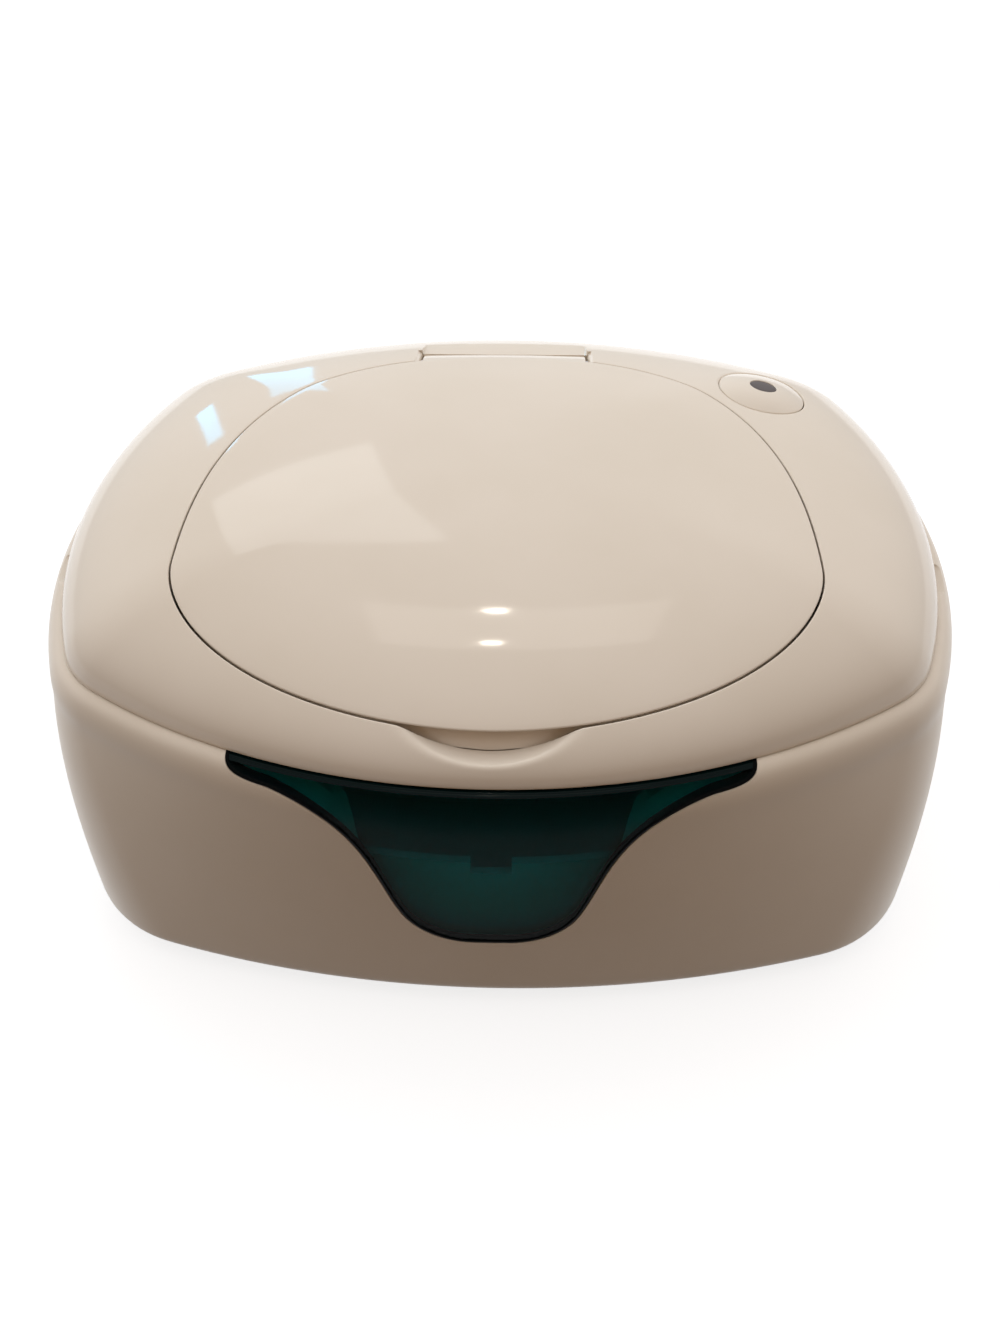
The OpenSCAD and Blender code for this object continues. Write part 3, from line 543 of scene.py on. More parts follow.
def metal(name, colour, rough):
    """Metal with the fine streaks of rolling or turning."""
    s = Shader(name)
    streaks = s.noise(220, 5, (1, 14, 1), 0.65)
    s.link(s.blend(s.span(streaks, 0, 1), colour, darker(colour, 0.86)), s.bsdf.inputs["Base Color"])
    s.link(s.span(streaks, rough * 0.75, rough * 1.3), s.bsdf.inputs["Roughness"])
    s.bump(streaks, 0.05, 0.0001)
    s.put("Metallic", 1.0)
    return s.material


def felt(name, colour):
    s = Shader(name)
    fibres = s.noise(900, 6, None, 0.8)
    s.link(s.blend(s.span(fibres, 0, 1), colour, darker(colour, 0.72)), s.bsdf.inputs["Base Color"])
    s.put("Roughness", 0.95)
    s.put("Sheen Weight", 0.4)
    s.bump(fibres, 0.5, 0.0006)
    return s.material


def board(name, colour):
    """Solder mask with faint copper tracks under it."""
    s = Shader(name)
    tracks = s.add("ShaderNodeTexBrick")
    tracks.inputs["Scale"].default_value = 260
    tracks.inputs["Color1"].default_value = (*colour, 1)
    tracks.inputs["Color2"].default_value = (*darker(colour, 0.8), 1)
    copper = [c * k for c, k in zip(colour, (2.2, 1.7, 1.6))]
    tracks.inputs["Mortar"].default_value = (*copper, 1)
    s.link(s.where, tracks.inputs["Vector"])
    s.link(tracks.outputs["Color"], s.bsdf.inputs["Base Color"])
    s.link(s.span(s.noise(200, 3), 0.25, 0.4), s.bsdf.inputs["Roughness"])
    s.bump(tracks.outputs["Fac"], 0.2, 0.00006)
    return s.material


WARM_WHITE = (0.77, 0.69, 0.585)
BODY = plastic("body_plastic", WARM_WHITE, 0.30, grain=0.012, shine=0.25)
COVER = plastic("cover_plastic", WARM_WHITE, 0.065, grain=0.008, shine=0.38)
INNER = textured_plastic("inner_plastic", (0.78, 0.76, 0.72))
TEAL = clear_teal("window_teal", (0.004, 0.47, 0.52))
# Near-black finish of the panel's top edge and lip: painted shade of the seam and of the dark inside
# behind it
WINDOW_SHADE_EDGE = plastic("window_edge_painted_shade", (0.0005, 0.006, 0.006), 0.08, grain=0.01, shine=0.07)
DARK_SEAL = rubber("seal_dark", (0.0015, 0.002, 0.002), 0.35, shine=0.03)
SILICONE = rubber("silicone", (0.60, 0.585, 0.56), 0.45, 0.95)
FOOT = rubber("foot_rubber", (0.045, 0.045, 0.045), 0.75)
STEEL = metal("steel", (0.6, 0.6, 0.61), 0.28)
ALUMINIUM = metal("heater_metal", (0.78, 0.79, 0.81), 0.34)
FILM = plastic("heater_film", (0.55, 0.24, 0.05), 0.25)
FELT = felt("felt", (0.66, 0.62, 0.52))
BLACK = textured_plastic("black_plastic", (0.02, 0.02, 0.022), 0.42)
CERAMIC = plastic("ceramic", (0.72, 0.64, 0.48), 0.22, 0.2)
BOARD = board("board_green", (0.015, 0.11, 0.045))
LED = plastic("led_clear", (0.82, 0.86, 0.9), 0.1, 0.5)
RED = plastic("lead_red", (0.42, 0.02, 0.015), 0.35)
WHITE_LEAD = plastic("lead_white", (0.74, 0.72, 0.68), 0.4)
LENS = plastic("lens_grey", (0.072, 0.054, 0.052), 0.4)


# Window outline in x and z


def curve(a, b, c, d, n):
    t = (np.arange(n) / n)[:, None]
    k = 1 - t
    a, b, c, d = map(np.asarray, (a, b, c, d))
    return k**3 * a + 3 * k * k * t * b + 3 * k * t * t * c + t**3 * d


WINDOW_RIGHT = np.vstack([
    arc([SILL_HALF, WINDOW_LOW + SILL_R], SILL_R, -90 * DEG, -SILL_TURN, 24),
    curve([SILL_HALF + SILL_R * math.cos(SILL_TURN), WINDOW_LOW + SILL_R * (1 - math.sin(SILL_TURN))],
          [WINDOW_HALF * 0.459, mix(WINDOW_LOW, BODY_H, 0.48)],
          [WINDOW_HALF * 0.4775, mix(WINDOW_LOW, BODY_H, 0.861)],
          [WINDOW_HALF - WING_W, WING_Z], 44),
    curve([WINDOW_HALF - WING_W, WING_Z], [WINDOW_HALF - 5, WING_Z + 0.3],
          [WINDOW_HALF, WING_Z + 0.6], [WINDOW_HALF, BODY_H + 0.1], 16),
    [[WINDOW_HALF, BODY_H + 0.1], [WINDOW_HALF, BODY_H + 8]],
])


def window_side(grow):
    """Right side of the opening, moved outwards by grow in its own plane."""
    p = WINDOW_RIGHT
    along = np.gradient(p, axis=0)
    along[0] = [1, 0]
    out = np.stack([along[:, 1], -along[:, 0]], 1)
    return p + grow * out / np.hypot(out[:, 0], out[:, 1])[:, None]


def window_outline(grow):
    right = window_side(grow)
    return np.vstack([right, right[::-1] * [-1, 1]])


def front_y(x, z):
    """Front wall of the body at x and z."""
    g = narrow(z)
    r = FACE_R + BASE_FLAT * g - tuck(z)
    b = HALF_D - BASE_IN_Y * g - tuck(z)
    return r - b - np.sqrt(r * r - x * x)


def window_levels(low):
    """Heights up the front wall and over the shoulder, close together where it turns."""
    up = (1 - np.cos(np.linspace(0, math.pi / 2, 46))) ** 0.9 * 0.999
    over = np.sin(np.linspace(0, PANEL_TURN, 26) * DEG)
    return np.concatenate([low + (WIDEST - low) * up, WIDEST + SHOULDER * over])


# Lower body


def body_shell():
    levels = np.concatenate([
        BASE_ROUND * (1 - np.cos(np.linspace(0, math.pi / 2, 9))),
        np.linspace(BASE_ROUND, WIDEST, 26)[1:-1],
        WIDEST + SHOULDER * np.sin(np.linspace(0, 90, 20) * DEG),
    ])
    rows = [raise_to(body_line(z, tuck(z)), z) for z in levels]
    # Down the inside: rim, ledge, wall, and the lip round the base plate
    rim, edge, near = RIM_IN + RIM_T, 0.5, 0.15
    brace, floor_edge, lip = LEDGE_Z - 9, BASE_ROUND + 1, WALL + 0.4
    for z, line in [
        (BODY_H, body_line(BODY_H, rim - edge)),
        (BODY_H - near, body_line(BODY_H, rim - near)),
        (BODY_H - edge, body_line(BODY_H, rim)),
        (LEDGE_Z, body_line(WIDEST, rim)),
        (LEDGE_Z, body_line(WIDEST, rim + LEDGE_W)),
        (LEDGE_Z - LEDGE_T, body_line(WIDEST, rim + LEDGE_W)),
        (brace, body_line(brace, WALL)),
        (WIDEST / 2, body_line(WIDEST / 2, WALL)),
        (BASE_ROUND + WALL + 2, body_line(BASE_ROUND + WALL + 2, WALL)),
        (floor_edge, body_line(floor_edge, WALL + 1.6)),
        (lip, body_line(0, PLATE_IN - 3)),
        (lip, body_line(0, PLATE_IN)),
        (0, body_line(0, PLATE_IN)),
    ]:
        rows.append(raise_to(line, z))
    o = new_object("lower_body", loft(rows, joined=True))
    steps = []
    half = KNUCKLE_LEN / 2 + EAR_GAP
    for s in (-1, 1):
        for x in (KNUCKLE_AT - half - EAR_W, KNUCKLE_AT + half):
            x0, x1 = sorted((s * x, s * (x + EAR_W)))
            steps.append(join(hinge_rod((x0, x1), KNUCKLE_R, KNUCKLE_EDGE)))
            steps.append(join(block(
                (x0 + 0.3, HINGE_Y - KNUCKLE_R + 0.4, BODY_H - 7),
                (x1 - 0.3, HINGE_Y + KNUCKLE_R - 0.3, HINGE_Z))))
    steps.append(cut(prism(window_outline(0), -HALF_D - 12, -HALF_D + 18)))
    for s in (-1, 1):
        mid = s * KNUCKLE_AT
        steps.append(cut(hinge_rod((mid - half, mid + half), KNUCKLE_R + 0.5)))
        steps.append(cut(hinge_rod((mid - KNUCKLE_LEN, mid + KNUCKLE_LEN), HINGE_PIN_R + 0.02)))
        steps.append(cut(pry_notch(s)))
    smooth(shape(o, steps))
    return place(o, BODY, "base", "body_plastic", "body_shell")


def pry_notch(s):
    """Finger notch across the seam at one side, with rounded ends."""
    edge = HALF_W - RIM_IN
    t = np.linspace(0, 2 * math.pi, 40, endpoint=False)
    c, q = np.cos(t), np.sin(t)
    outline = np.column_stack([
        PRY_AT + PRY_HALF * np.sign(c) * np.abs(c) ** 0.35,
        BODY_H + PRY_UP + PRY_HIGH * np.sign(q) * np.abs(q) ** 0.6,
    ])
    return across(outline, *sorted((s * (edge - 2.2), s * (edge + 5.8))))


def window_panel():
    """Clear panel that follows the front wall and the shoulder, with softened edges."""
    side = window_side(-WINDOW_SEAL + 0.5)
    levels = window_levels(side[:, 1].min() + 0.01)
    half = np.interp(levels, side[:, 1], side[:, 0])
    slope = np.gradient(half, levels)
    lean = 1 / np.sqrt(1 + np.clip(slope, 0, 8) ** 2)
    u = np.sin(np.linspace(-1, 1, 121) * math.pi / 2)
    loops = []
    for z, w, k in zip(levels, half, lean):
        x = u * w
        near = np.minimum((1 - np.abs(u)) * w * k, z - levels[0])
        fall = PANEL_EDGE - np.sqrt(np.maximum(0, PANEL_EDGE**2 - np.maximum(0, PANEL_EDGE - near) ** 2))
        y, up = front_y(x, z) + PANEL_BACK, np.full(len(x), z)
        back = np.column_stack([x, y + WINDOW_T, up])
        loops.append(np.vstack([np.column_stack([x, y + fall, up]), back[::-1]]))
    o = new_object("front_window", bar(loops))
    smooth(o, 50)
    place(o, TEAL, "base", "window_teal", "window")
    # The top faces get the near-black edge finish, a painted shade of the seam, as dark as the lip over
    # them
    o.data.materials.append(WINDOW_SHADE_EDGE)
    for f in o.data.polygons:
        f.material_index = int(f.center.z > (FOOT_H + levels[-1] - 0.25) * MM)
    return o


def window_shade_lip():
    """Rounded top edge of the panel, under the cover's rim, near black as a painted shade of the seam
    and of the dark inside behind the panel; its gloss is real.
    """
    r, back, down = 0.62, 0.95, 0.35
    z = WIDEST + SHOULDER * math.sin(PANEL_TURN * DEG)
    half = np.interp(z, *window_side(-WINDOW_SEAL)[:, ::-1].T)
    t = np.linspace(0, 2 * math.pi, 12, endpoint=False)
    loops = []
    for x in np.linspace(-half, half, 61):
        y = front_y(x, z) + back + r * np.cos(t)
        loops.append(np.column_stack([np.full(len(t), x), y, z - down + r * np.sin(t)]))
    o = new_object("window_top_edge_painted_shade", bar(loops))
    smooth(o, 60)
    return place(o, WINDOW_SHADE_EDGE, "base", "window_teal")


def window_seal():
    """Dark bead between the panel and the shell, round the sides and the sill."""
    def rail(grow, depth):
        side = window_side(grow)
        below = side[side[:, 1] < BODY_H - 0.02]
        over = WIDEST + SHOULDER * np.sin(np.linspace(0, 89.5, 30) * DEG)
        over = over[over > below[-1, 1] + 0.01]
        right = np.vstack([below, np.column_stack([np.interp(over, side[:, 1], side[:, 0]), over])])
        sill = [[x, right[0, 1]] for x in np.linspace(-SILL_HALF, SILL_HALF, 14)[1:-1]]
        whole = np.vstack([right[::-1] * [-1, 1], sill, right])
        return np.array([[x, front_y(x, z) + depth, z] for x, z in whole])
    # Pairs of growth from the opening's edge and depth from the wall's face
    inner = -WINDOW_SEAL
    section = [(-0.05, WALL), (-0.05, 0.35), (-0.2, 0.08), (-0.45, 0.0), (inner + 0.25, 0.0),
               (inner + 0.06, 0.08), (inner, 0.25), (inner, WALL)]
    rails = [rail(g, d) for g, d in section]
    count = min(len(r) for r in rails)
    loops = [np.array([r[min(i, len(r) - 1)] for r in rails]) for i in range(count)]
    o = new_object("window_seal", bar(loops))
    smooth(o, 40)
    return place(o, DARK_SEAL, "base", "seal_dark", "window_gasket")


def wipe_tub():
    inset, flange = RIM_IN + RIM_T + LEDGE_W + FIT, RIM_IN + RIM_T + FIT
    bore, top, inside = inset + TUB_WALL, LEDGE_Z + FLANGE_T, TUB_FLOOR + TUB_WALL
    rows = [raise_to(body_line(WIDEST, i), z) for i, z in [
        (inset + 2.5, TUB_FLOOR), (inset + 0.7, TUB_FLOOR + 0.7), (inset, TUB_FLOOR + 2.5),
        (inset, LEDGE_Z), (flange, LEDGE_Z), (flange, top - 0.4), (flange + 0.4, top),
        (bore - 0.6, top), (bore, top - 0.6), (bore, inside + 3), (bore + 0.9, inside + 0.9),
        (bore + 3, inside)]]
    o = new_object("wipes_tub", loft(rows, first=[0, 0, TUB_FLOOR], last=[0, 0, inside]))
    sx, sy = SCREW_AT
    steps = [join(cylinder(POST_R, TUB_FLOOR + 0.5, (x, y, 0))) for x in (-sx, sx) for y in (-sy, sy)]
    w, low, back = TUB_FRONT_HALF, TUB_FRONT, 30 - HALF_D
    turn = np.array([[-w, low + 3], [-w + 0.9, low + 0.9], [-w + 3, low]])
    front = np.vstack([turn, turn[::-1] * [-1, 1], [[w, BODY_H], [-w, BODY_H]]])
    steps += [
        cut(slab(body_line(WIDEST, inset), -1, PLATE_LOW + PLATE_T)),
        cut(prism(front, -HALF_D, back)),
        cut(block((-TUB_NOTCH_HALF, -HALF_D, low - TUB_NOTCH_DEEP),
                  (TUB_NOTCH_HALF, back, low + TUB_NOTCH_DEEP))),
    ]
    smooth(shape(o, steps))
    return place(o, INNER, "base", "inner_plastic", "wipe_tub")


def foot(node, x, y):
    r, low, top = FOOT_R, -FOOT_H, PLATE_LOW + 1
    o = new_object("rubber_" + node, lathe([
        (0, low + 0.5), (r - 4.6, low + 0.5), (r - 4, low), (r - 1.4, low), (r - 0.6, low + 0.25),
        (r - 0.25, low + 0.9), (r, -0.1), (r, top), (0, top)], (x, y, 0)))
    smooth(o)
    return place(o, FOOT, "base", "foot_rubber", node)


# Top cover


def scoop_z(p):
    """Bowl of the finger scoop."""
    d2 = p[:, 0] ** 2 + (SCOOP_STEEP * (p[:, 1] + LID_FRONT - SCOOP_BACK)) ** 2
    return DECK_TOP + SCOOP_UP + SCOOP_R - np.sqrt(np.maximum(1, SCOOP_R**2 - d2))


def cover_z(p):
    """Outside of the cover: the dome, with the finger scoop blended into it."""
    dome, scoop = dome_z(p), scoop_z(p)
    k = np.maximum(0, SCOOP_SOFT - np.abs(dome - scoop)) / SCOOP_SOFT
    return np.maximum(np.minimum(dome, scoop) - k * k * SCOOP_SOFT / 4, BODY_H + SEAM_GAP)


def cover_row(s, grow=0.0, drop=0.0):
    p = mix(lid_line(LID_GAP - LID_CLOSER + grow), SEAM, s)
    return raise_to(p, cover_z(p) - drop)


def tail_pocket():
    """Pocket of the lid's hinge, a prism along X with a round rear."""
    t = np.linspace(-90, 0, 14) * DEG
    y, z = LID_AXIS_Y + POCKET_R * np.cos(t), LID_AXIS_Z + POCKET_R * np.sin(t)
    front, top = LID_AXIS_Y - 20, LID_AXIS_Z + 20
    section = np.vstack([[[front, top]], [[front, z[0]]], np.stack([y, z], 1), [[y[-1], top]]])
    return across(section, -POCKET_HALF, POCKET_HALF)


def brow():
    """Slope from the pocket's rear wall up to the dome, with softened ends."""
    y0, y1, top = LID_AXIS_Y + POCKET_R - 0.5, LID_AXIS_Y + BROW_OUT, LID_AXIS_Z + 20
    end = POCKET_HALF
    turn = BROW_SOFT * (1 - np.cos(np.linspace(0, 90, 7) * DEG))
    straight = np.linspace(-end + BROW_SOFT, end - BROW_SOFT, 33)[1:-1]
    loops = []
    for x in np.concatenate([-end + turn, straight, end - turn[::-1]]):
        k = min(1, (end - abs(x)) / BROW_SOFT)
        out = mix(y0 + 0.6, y1, math.sqrt(k * (2 - k)))
        edge = [x, out, dome_z([[x, out]])[0] + 0.02]
        loops.append(np.array([[x, y0, LID_AXIS_Z + BROW_UP], edge, [x, out, top], [x, y0, top]]))
    return bar(loops)


def pocket_edge(s):
    """Softened top edge along one side of the pocket."""
    x0, x1 = s * POCKET_HALF, s * (TAIL_HALF + POCKET_SOFT)
    loops = []
    for y in np.linspace(LID_AXIS_Y - 14, LID_AXIS_Y + POCKET_R, 9):
        z = dome_z([[x0, y]])[0]
        loops.append(np.array([[x0 - s, y, z - 1.8], [x0, y, z - 1.8], [mix(x0, x1, 0.3), y, z - 0.8],
                               [x1, y, z + 0.02], [x1, y, z + 3], [x0 - s, y, z + 3]]))
    return bar(loops)


BUTTON_TURN = Matrix.Rotation(BUTTON_SIDE * DEG, 3, "Y") @ Matrix.Rotation(-BUTTON_BACK * DEG, 3, "X")


def at_button(pts):
    """From the button's own frame to the part's."""
    return np.asarray(pts) @ np.array(BUTTON_TURN).T + [*BUTTON_AT, dome_z([BUTTON_AT])[0]]


def button_hole(grow, z):
    """Line of the button's hole, wider by grow, at a height in the button's own frame."""
    a, b = BUTTON_HALF
    return at_button(raise_to(ellipse(a + BUTTON_GAP + grow, b + BUTTON_GAP + grow), z))


def top_cover():
    edge, rounding = 0.45, np.linspace(0, 90, 6)[1:] * DEG
    near_seam = 1 - 0.02 * (np.linspace(0, 1, 9)[1:]) ** 2
    rows = [cover_row(s, edge * (1 - s)) for s in [1.0, *near_seam, *np.linspace(0.98, 0.0, 44)[1:]]]
    rows += [cover_row(0, edge * (1 - math.sin(t)), edge * (1 - math.cos(t))) for t in rounding]
    outer, low = lid_line(LID_GAP + WELL_WALL), BODY_H + SEAM_GAP
    rows += [raise_to(lid_line(LID_GAP - LID_CLOSER), DECK_TOP), raise_to(outer, DECK_TOP)]
    for s in (0, 0.1, 0.25, 0.4, 0.55, 0.7, 0.8, 0.9, 0.97):
        p = mix(outer, seam_line(WALL), s)
        # The dome is hollow but for the place under the scoop
        hollow = np.where(p[:, 1] > 0, 1, np.clip((np.abs(p[:, 0]) - 24) / 14, 0, 1))
        rows.append(raise_to(p, mix(DECK_TOP, np.maximum(dome_z(p, WALL), DECK_TOP), hollow)))
    rows.append(raise_to(seam_line(WALL), low))
    o = new_object("cover", loft(rows, joined=True))

    # Box round the hinge pocket, knuckles, and the sleeve of the jack
    x, r = POCKET_HALF + 4.6, POCKET_R + 2.4
    roof = dome_z([[x, LID_AXIS_Y + r]])[0] - 0.8
    steps = [join(block((-x, LID_AXIS_Y - 4, LID_AXIS_Z - r), (x, LID_AXIS_Y + r, roof)))]
    half, rear = KNUCKLE_LEN / 2, (0, 1, 0)
    for s in (-1, 1):
        x0, x1 = s * KNUCKLE_AT - half, s * KNUCKLE_AT + half
        steps.append(join(hinge_rod((x0, x1), KNUCKLE_R, KNUCKLE_EDGE)))
        steps.append(join(block((x0 + 0.3, HINGE_Y - 4.6, low), (x1 - 0.3, HINGE_Y, low + KNUCKLE_R))))
    steps.append(join(cylinder(JACK_R + 1.8, 14, (0, JACK_FACE - 14, JACK_Z), rear)))

    steps += [cut(tail_pocket()), cut(brow()), cut(pocket_edge(-1)), cut(pocket_edge(1))]
    for s in (-1, 1):
        for x0 in (KNUCKLE_AT - half - 2 * EAR_GAP - EAR_W, KNUCKLE_AT + half):
            steps.append(cut(hinge_rod((s * x0, s * (x0 + EAR_W + 2 * EAR_GAP)), KNUCKLE_R + 0.4)))
        steps.append(cut(pry_notch(s)))
    for grow, z0, z1 in ((BUTTON_LIP, -5.4, 12), (0, -12, 0)):
        steps.append(cut(bar([button_hole(grow, z) for z in (z0, z1)])))
    for r, y in ((JACK_R + 0.9, JACK_FACE), (JACK_R, JACK_FACE - 15)):
        steps.append(cut(cylinder(r, 20, (0, y, JACK_Z), rear)))
    shape(o, steps)
    add_solid(o, button_lip())
    smooth(o)
    # The line where the brow meets the dome stays sharp
    crease, wide = (LID_AXIS_Y + BROW_OUT) * MM, (TAIL_HALF + 1) * MM
    for e in o.data.edges:
        ends = [o.data.vertices[v].co for v in e.vertices]
        e.use_edge_sharp |= all(abs(v.y - crease) < 0.05 * MM and abs(v.x) < wide for v in ends)
    return place(o, COVER, "cover", "cover_plastic", "top_cover")


def add_solid(o, solid):
    """Adds a closed solid's faces to an object's mesh."""
    extra = new_mesh("extra", solid)
    bm = bmesh.new()
    bm.from_mesh(o.data)
    bm.from_mesh(extra)
    bm.to_mesh(o.data)
    bm.free()
    bpy.data.meshes.remove(extra)


def button_lip():
    """Rounded lip of the button's hole: it starts on the dome and turns down into the hole."""
    up = at_button([[0, 0, 1]])[0] - at_button([[0, 0, 0]])[0]

    def ring(grow, deep=0.0):
        p = button_hole(grow, 0)
        for _ in range(3):
            p = p + np.outer(dome_z(p[:, :2]) - p[:, 2], up)
        p[:, 2] -= deep
        return p
    t, w = np.linspace(0, 90, 7) * DEG, BUTTON_LIP
    rows = [ring(w * (1 - math.sin(a)), w * (1 - math.cos(a))) for a in t]
    rows += [ring(0, 2.0), ring(w, 2.0)]
    return loft(rows, joined=True)


def mouth_ring(grow, z, n=160):
    """Ring round the opening for the wipes."""
    return raise_to(ellipse(MOUTH_HALF[0] + grow, MOUTH_HALF[1] + grow, n, (0, -MOUTH_AT)), z)


def well_deck():
    """Floor of the lid well with its rounded opening."""
    outer = np.roll(lid_line(LID_GAP + WELL_WALL), -np.argmin(np.abs(TURNS)), axis=0)
    low, n = DECK_TOP - DECK_T, len(outer)
    rows = [raise_to(outer, low), raise_to(outer, DECK_TOP)]
    rows += [mouth_ring(grow, z, n) for grow, z in [
        (0.6, DECK_TOP), (0.15, DECK_TOP - 0.2), (0, DECK_TOP - 0.6), (0, low)]]
    o = new_object("lid_well_floor", loft(rows, joined=True))
    smooth(o)
    return place(o, COVER, "cover", "inner_plastic", "well_deck")


def mouth_seal():
    rows = [mouth_ring(grow, DECK_TOP + up) for grow, up in [
        (4, 0), (3.8, 0.6), (2.9, 1.1), (2.3, SEAL_H), (1.7, 1.1), (0.8, 0.6), (0.6, 0)]]
    o = new_object("opening_seal", loft(rows, joined=True))
    smooth(o, 60)
    return place(o, SILICONE, "cover", "silicone", "mouth_seal")


# Flip lid


def lid_row(s, grow, drop, inset=0.0):
    p = lid_line(grow, s)
    return raise_to(p, dome_z(p, inset) - drop)


def lid_peak(drop, inset=0.0):
    return [*LID_MID, dome_z([LID_MID], inset)[0] - drop]


def tail():
    """Tail that ends in the hinge barrel."""
    t = np.linspace(-160, 62, 26) * DEG
    ys = np.linspace(LID_AXIS_Y - 12, LID_AXIS_Y + BARREL_R * 0.46, 16)
    dip = np.clip((ys - ys[0] - 4) / (ys[-1] - ys[0] - 4), 0, 1) ** 2 * TAIL_DIP
    step, half = 0.15, TAIL_HALF
    loops = []
    for x in [-half, -half + step, *np.linspace(-half + 0.5, half - 0.5, 23), half - step, half]:
        inset = {0: 0.4, 1: 0.1}.get(round((half - abs(x)) / step), 0.0)
        sink, r = 0.01 + inset + dip[::-1], BARREL_R - inset
        top = np.array([[x, y, dome_z([[x, y]])[0] - d] for y, d in zip(ys[::-1], sink)])
        under = np.array([[x, y, dome_z([[x, y]])[0] - LID_T] for y in (ys[0], ys[0] + 3, ys[0] + 6)])
        barrel = np.array([[x, LID_AXIS_Y + r * math.cos(a), LID_AXIS_Z + r * math.sin(a)] for a in t])
        loops.append(np.vstack([top, under, barrel]))
    return bar(loops)


def flip_lid():
    edge, out, inner = 0.28, LID_CLOSER, -4.4
    rounding = np.linspace(0, 90, 6)[1:] * DEG
    rows = [lid_row(s, (out - edge) * s, 0) for s in np.linspace(0, 1, 40)[1:] ** 0.8]
    rows += [lid_row(1, out - edge * (1 - math.sin(a)), edge * (1 - math.cos(a))) for a in rounding]
    rim = lid_line()
    # At the scoop the skirt leans out a little and reaches down to the bowl
    pull = np.clip(1.5 - np.abs(rim[:, 0]) / 17, 0, 1) * (rim[:, 1] < 0)
    deep = np.maximum(LID_SKIRT, np.minimum(dome_z(rim) - scoop_z(rim) - 0.06, LID_SKIRT + 1.4))
    deep = mix(np.full(len(rim), LID_SKIRT), deep, pull)
    rows += [lid_row(1, grow, drop) for grow, drop in [
        (out - 0.15, 0.55), (-3.0, 0.75), (-3.2, 1.55),
        (mix(-0.4, -3.1, pull), 1.75), (mix(-0.4, -2.7, pull), 2.6),
        (mix(-0.9, 0.55, pull), deep - 0.15), (mix(-1.1, 0.3, pull), deep), (inner, deep)]]
    rows += [lid_row(s, inner, 0, LID_T) for s in (1, 0.95, 0.85, 0.7, 0.5, 0.3, 0.12)]
    o = new_object("lid", loft(rows, first=lid_peak(0), last=lid_peak(0, LID_T)))
    shape(o, [join(tail())])
    smooth(o)
    return place(o, COVER, "lid", "cover_plastic", "flip_lid")


def lid_liner():
    """Inner shell of the lid, with a rounded rim."""
    inset, grow, low = LID_T + FIT, -9, LID_LINER_T
    steps = np.linspace(0.12, 1, 14)
    rows = [lid_row(s, grow, 0, inset) for s in steps]
    rows += [lid_row(1, g, drop, inset) for g, drop in [(-8.8, 0.5), (grow, low - 0.4), (-9.5, low)]]
    rows += [lid_row(s, grow, low, inset) for s in steps[-2::-1]]
    o = new_object("lid_inner_shell", loft(rows, first=lid_peak(0, inset), last=lid_peak(low, inset)))
    smooth(o)
    return place(o, INNER, "lid", "inner_plastic", "lid_liner")


# Light button


def light_button():
    outer, inner = np.array(BUTTON_HALF) + BUTTON_WIDER, np.full(2, LENS_R + 0.1)
    # Height of the dome over the button's plane, all round its edge
    lip = at_button(raise_to(ellipse(*outer), 0))
    lip = (dome_z(lip) - lip[:, 2]) / np.array(BUTTON_TURN)[2, 2] - 0.12

    def ring(size, z):
        return raise_to(ellipse(*size), z)

    def crown(k):
        return mix(BUTTON_TOP, lip, k**2.2)
    floor_z, start, end, edge = BUTTON_TOP - LENS_DEEP, 0.33, 0.965, 0.42
    rows = [ring(inner, floor_z), ring(inner, crown(start) - 0.2), ring(inner + 0.2, crown(0.35))]
    rows += [ring(mix(inner, outer, (k - start) / 0.67), crown(k)) for k in np.linspace(0.4, end, 16)]
    for t in np.linspace(20, 90, 5) * DEG:
        rows.append(ring(outer - edge * (1 - math.sin(t)), crown(end) - 0.05 - 0.45 * (1 - math.cos(t))))
    rows += [ring(outer, -2.5), ring(outer, BUTTON_LOW), ring(outer - 2, BUTTON_LOW)]
    pts, faces = loft(rows, first=[0, 0, floor_z], last=[0, 0, BUTTON_LOW])
    o = new_object("night_light_button", (at_button(pts), faces))
    smooth(o, 40)
    return place(o, COVER, "button", "cover_plastic", "light_button")


def button_lens():
    r = LENS_R + 0.04
    rows = [raise_to(ellipse(r * k, r * k), BUTTON_TOP - d)
            for k, d in ((1, LENS_DEEP), (1, 0.5), (0.95, 0.38), (0.7, 0.3), (0.35, 0.26))]
    pts, faces = loft(rows, first=[0, 0, BUTTON_TOP - LENS_DEEP], last=[0, 0, BUTTON_TOP - 0.25])
    o = new_object("button_insert", (at_button(pts), faces))
    smooth(o, 60)
    return place(o, LENS, "button", "lens_grey", "button_lens")


body_shell()
window_panel()
window_shade_lip()
window_seal()
wipe_tub()
foot("foot_fl", -FOOT_X, -FOOT_Y)
foot("foot_fr", FOOT_X, -FOOT_Y)
foot("foot_bl", -FOOT_X, FOOT_Y)
foot("foot_br", FOOT_X, FOOT_Y)
top_cover()
well_deck()
mouth_seal()
flip_lid()
lid_liner()
light_button()
button_lens()

# Finishes of the pieces that keep their own solids
FINISH = {
    "inner_plastic": INNER, "silicone": SILICONE, "steel": STEEL, "heater_metal": ALUMINIUM,
    "heater_film": FILM, "felt": FELT, "black_plastic": BLACK, "ceramic": CERAMIC,
    "board_green": BOARD, "led_clear": LED, "lead_red": RED, "lead_white": WHITE_LEAD,
    "body_plastic": BODY, "cover_plastic": COVER, "window_teal": TEAL, "seal_dark": DARK_SEAL,
    "foot_rubber": FOOT, "lens_grey": LENS,
}
for row in frame["record"]["subparts"]:
    node = frame["nodes"][row["node"]]
    node.data.materials.clear()
    node.data.materials.append(FINISH[row["material_slot"]])


# Floor, light and camera

# Light of the room: cool from the sides and the rear, warm and weak from the front
SKY_REAR, SKY_FRONT = (1.87, 2.06, 2.27), (0.24, 0.138, 0.058)
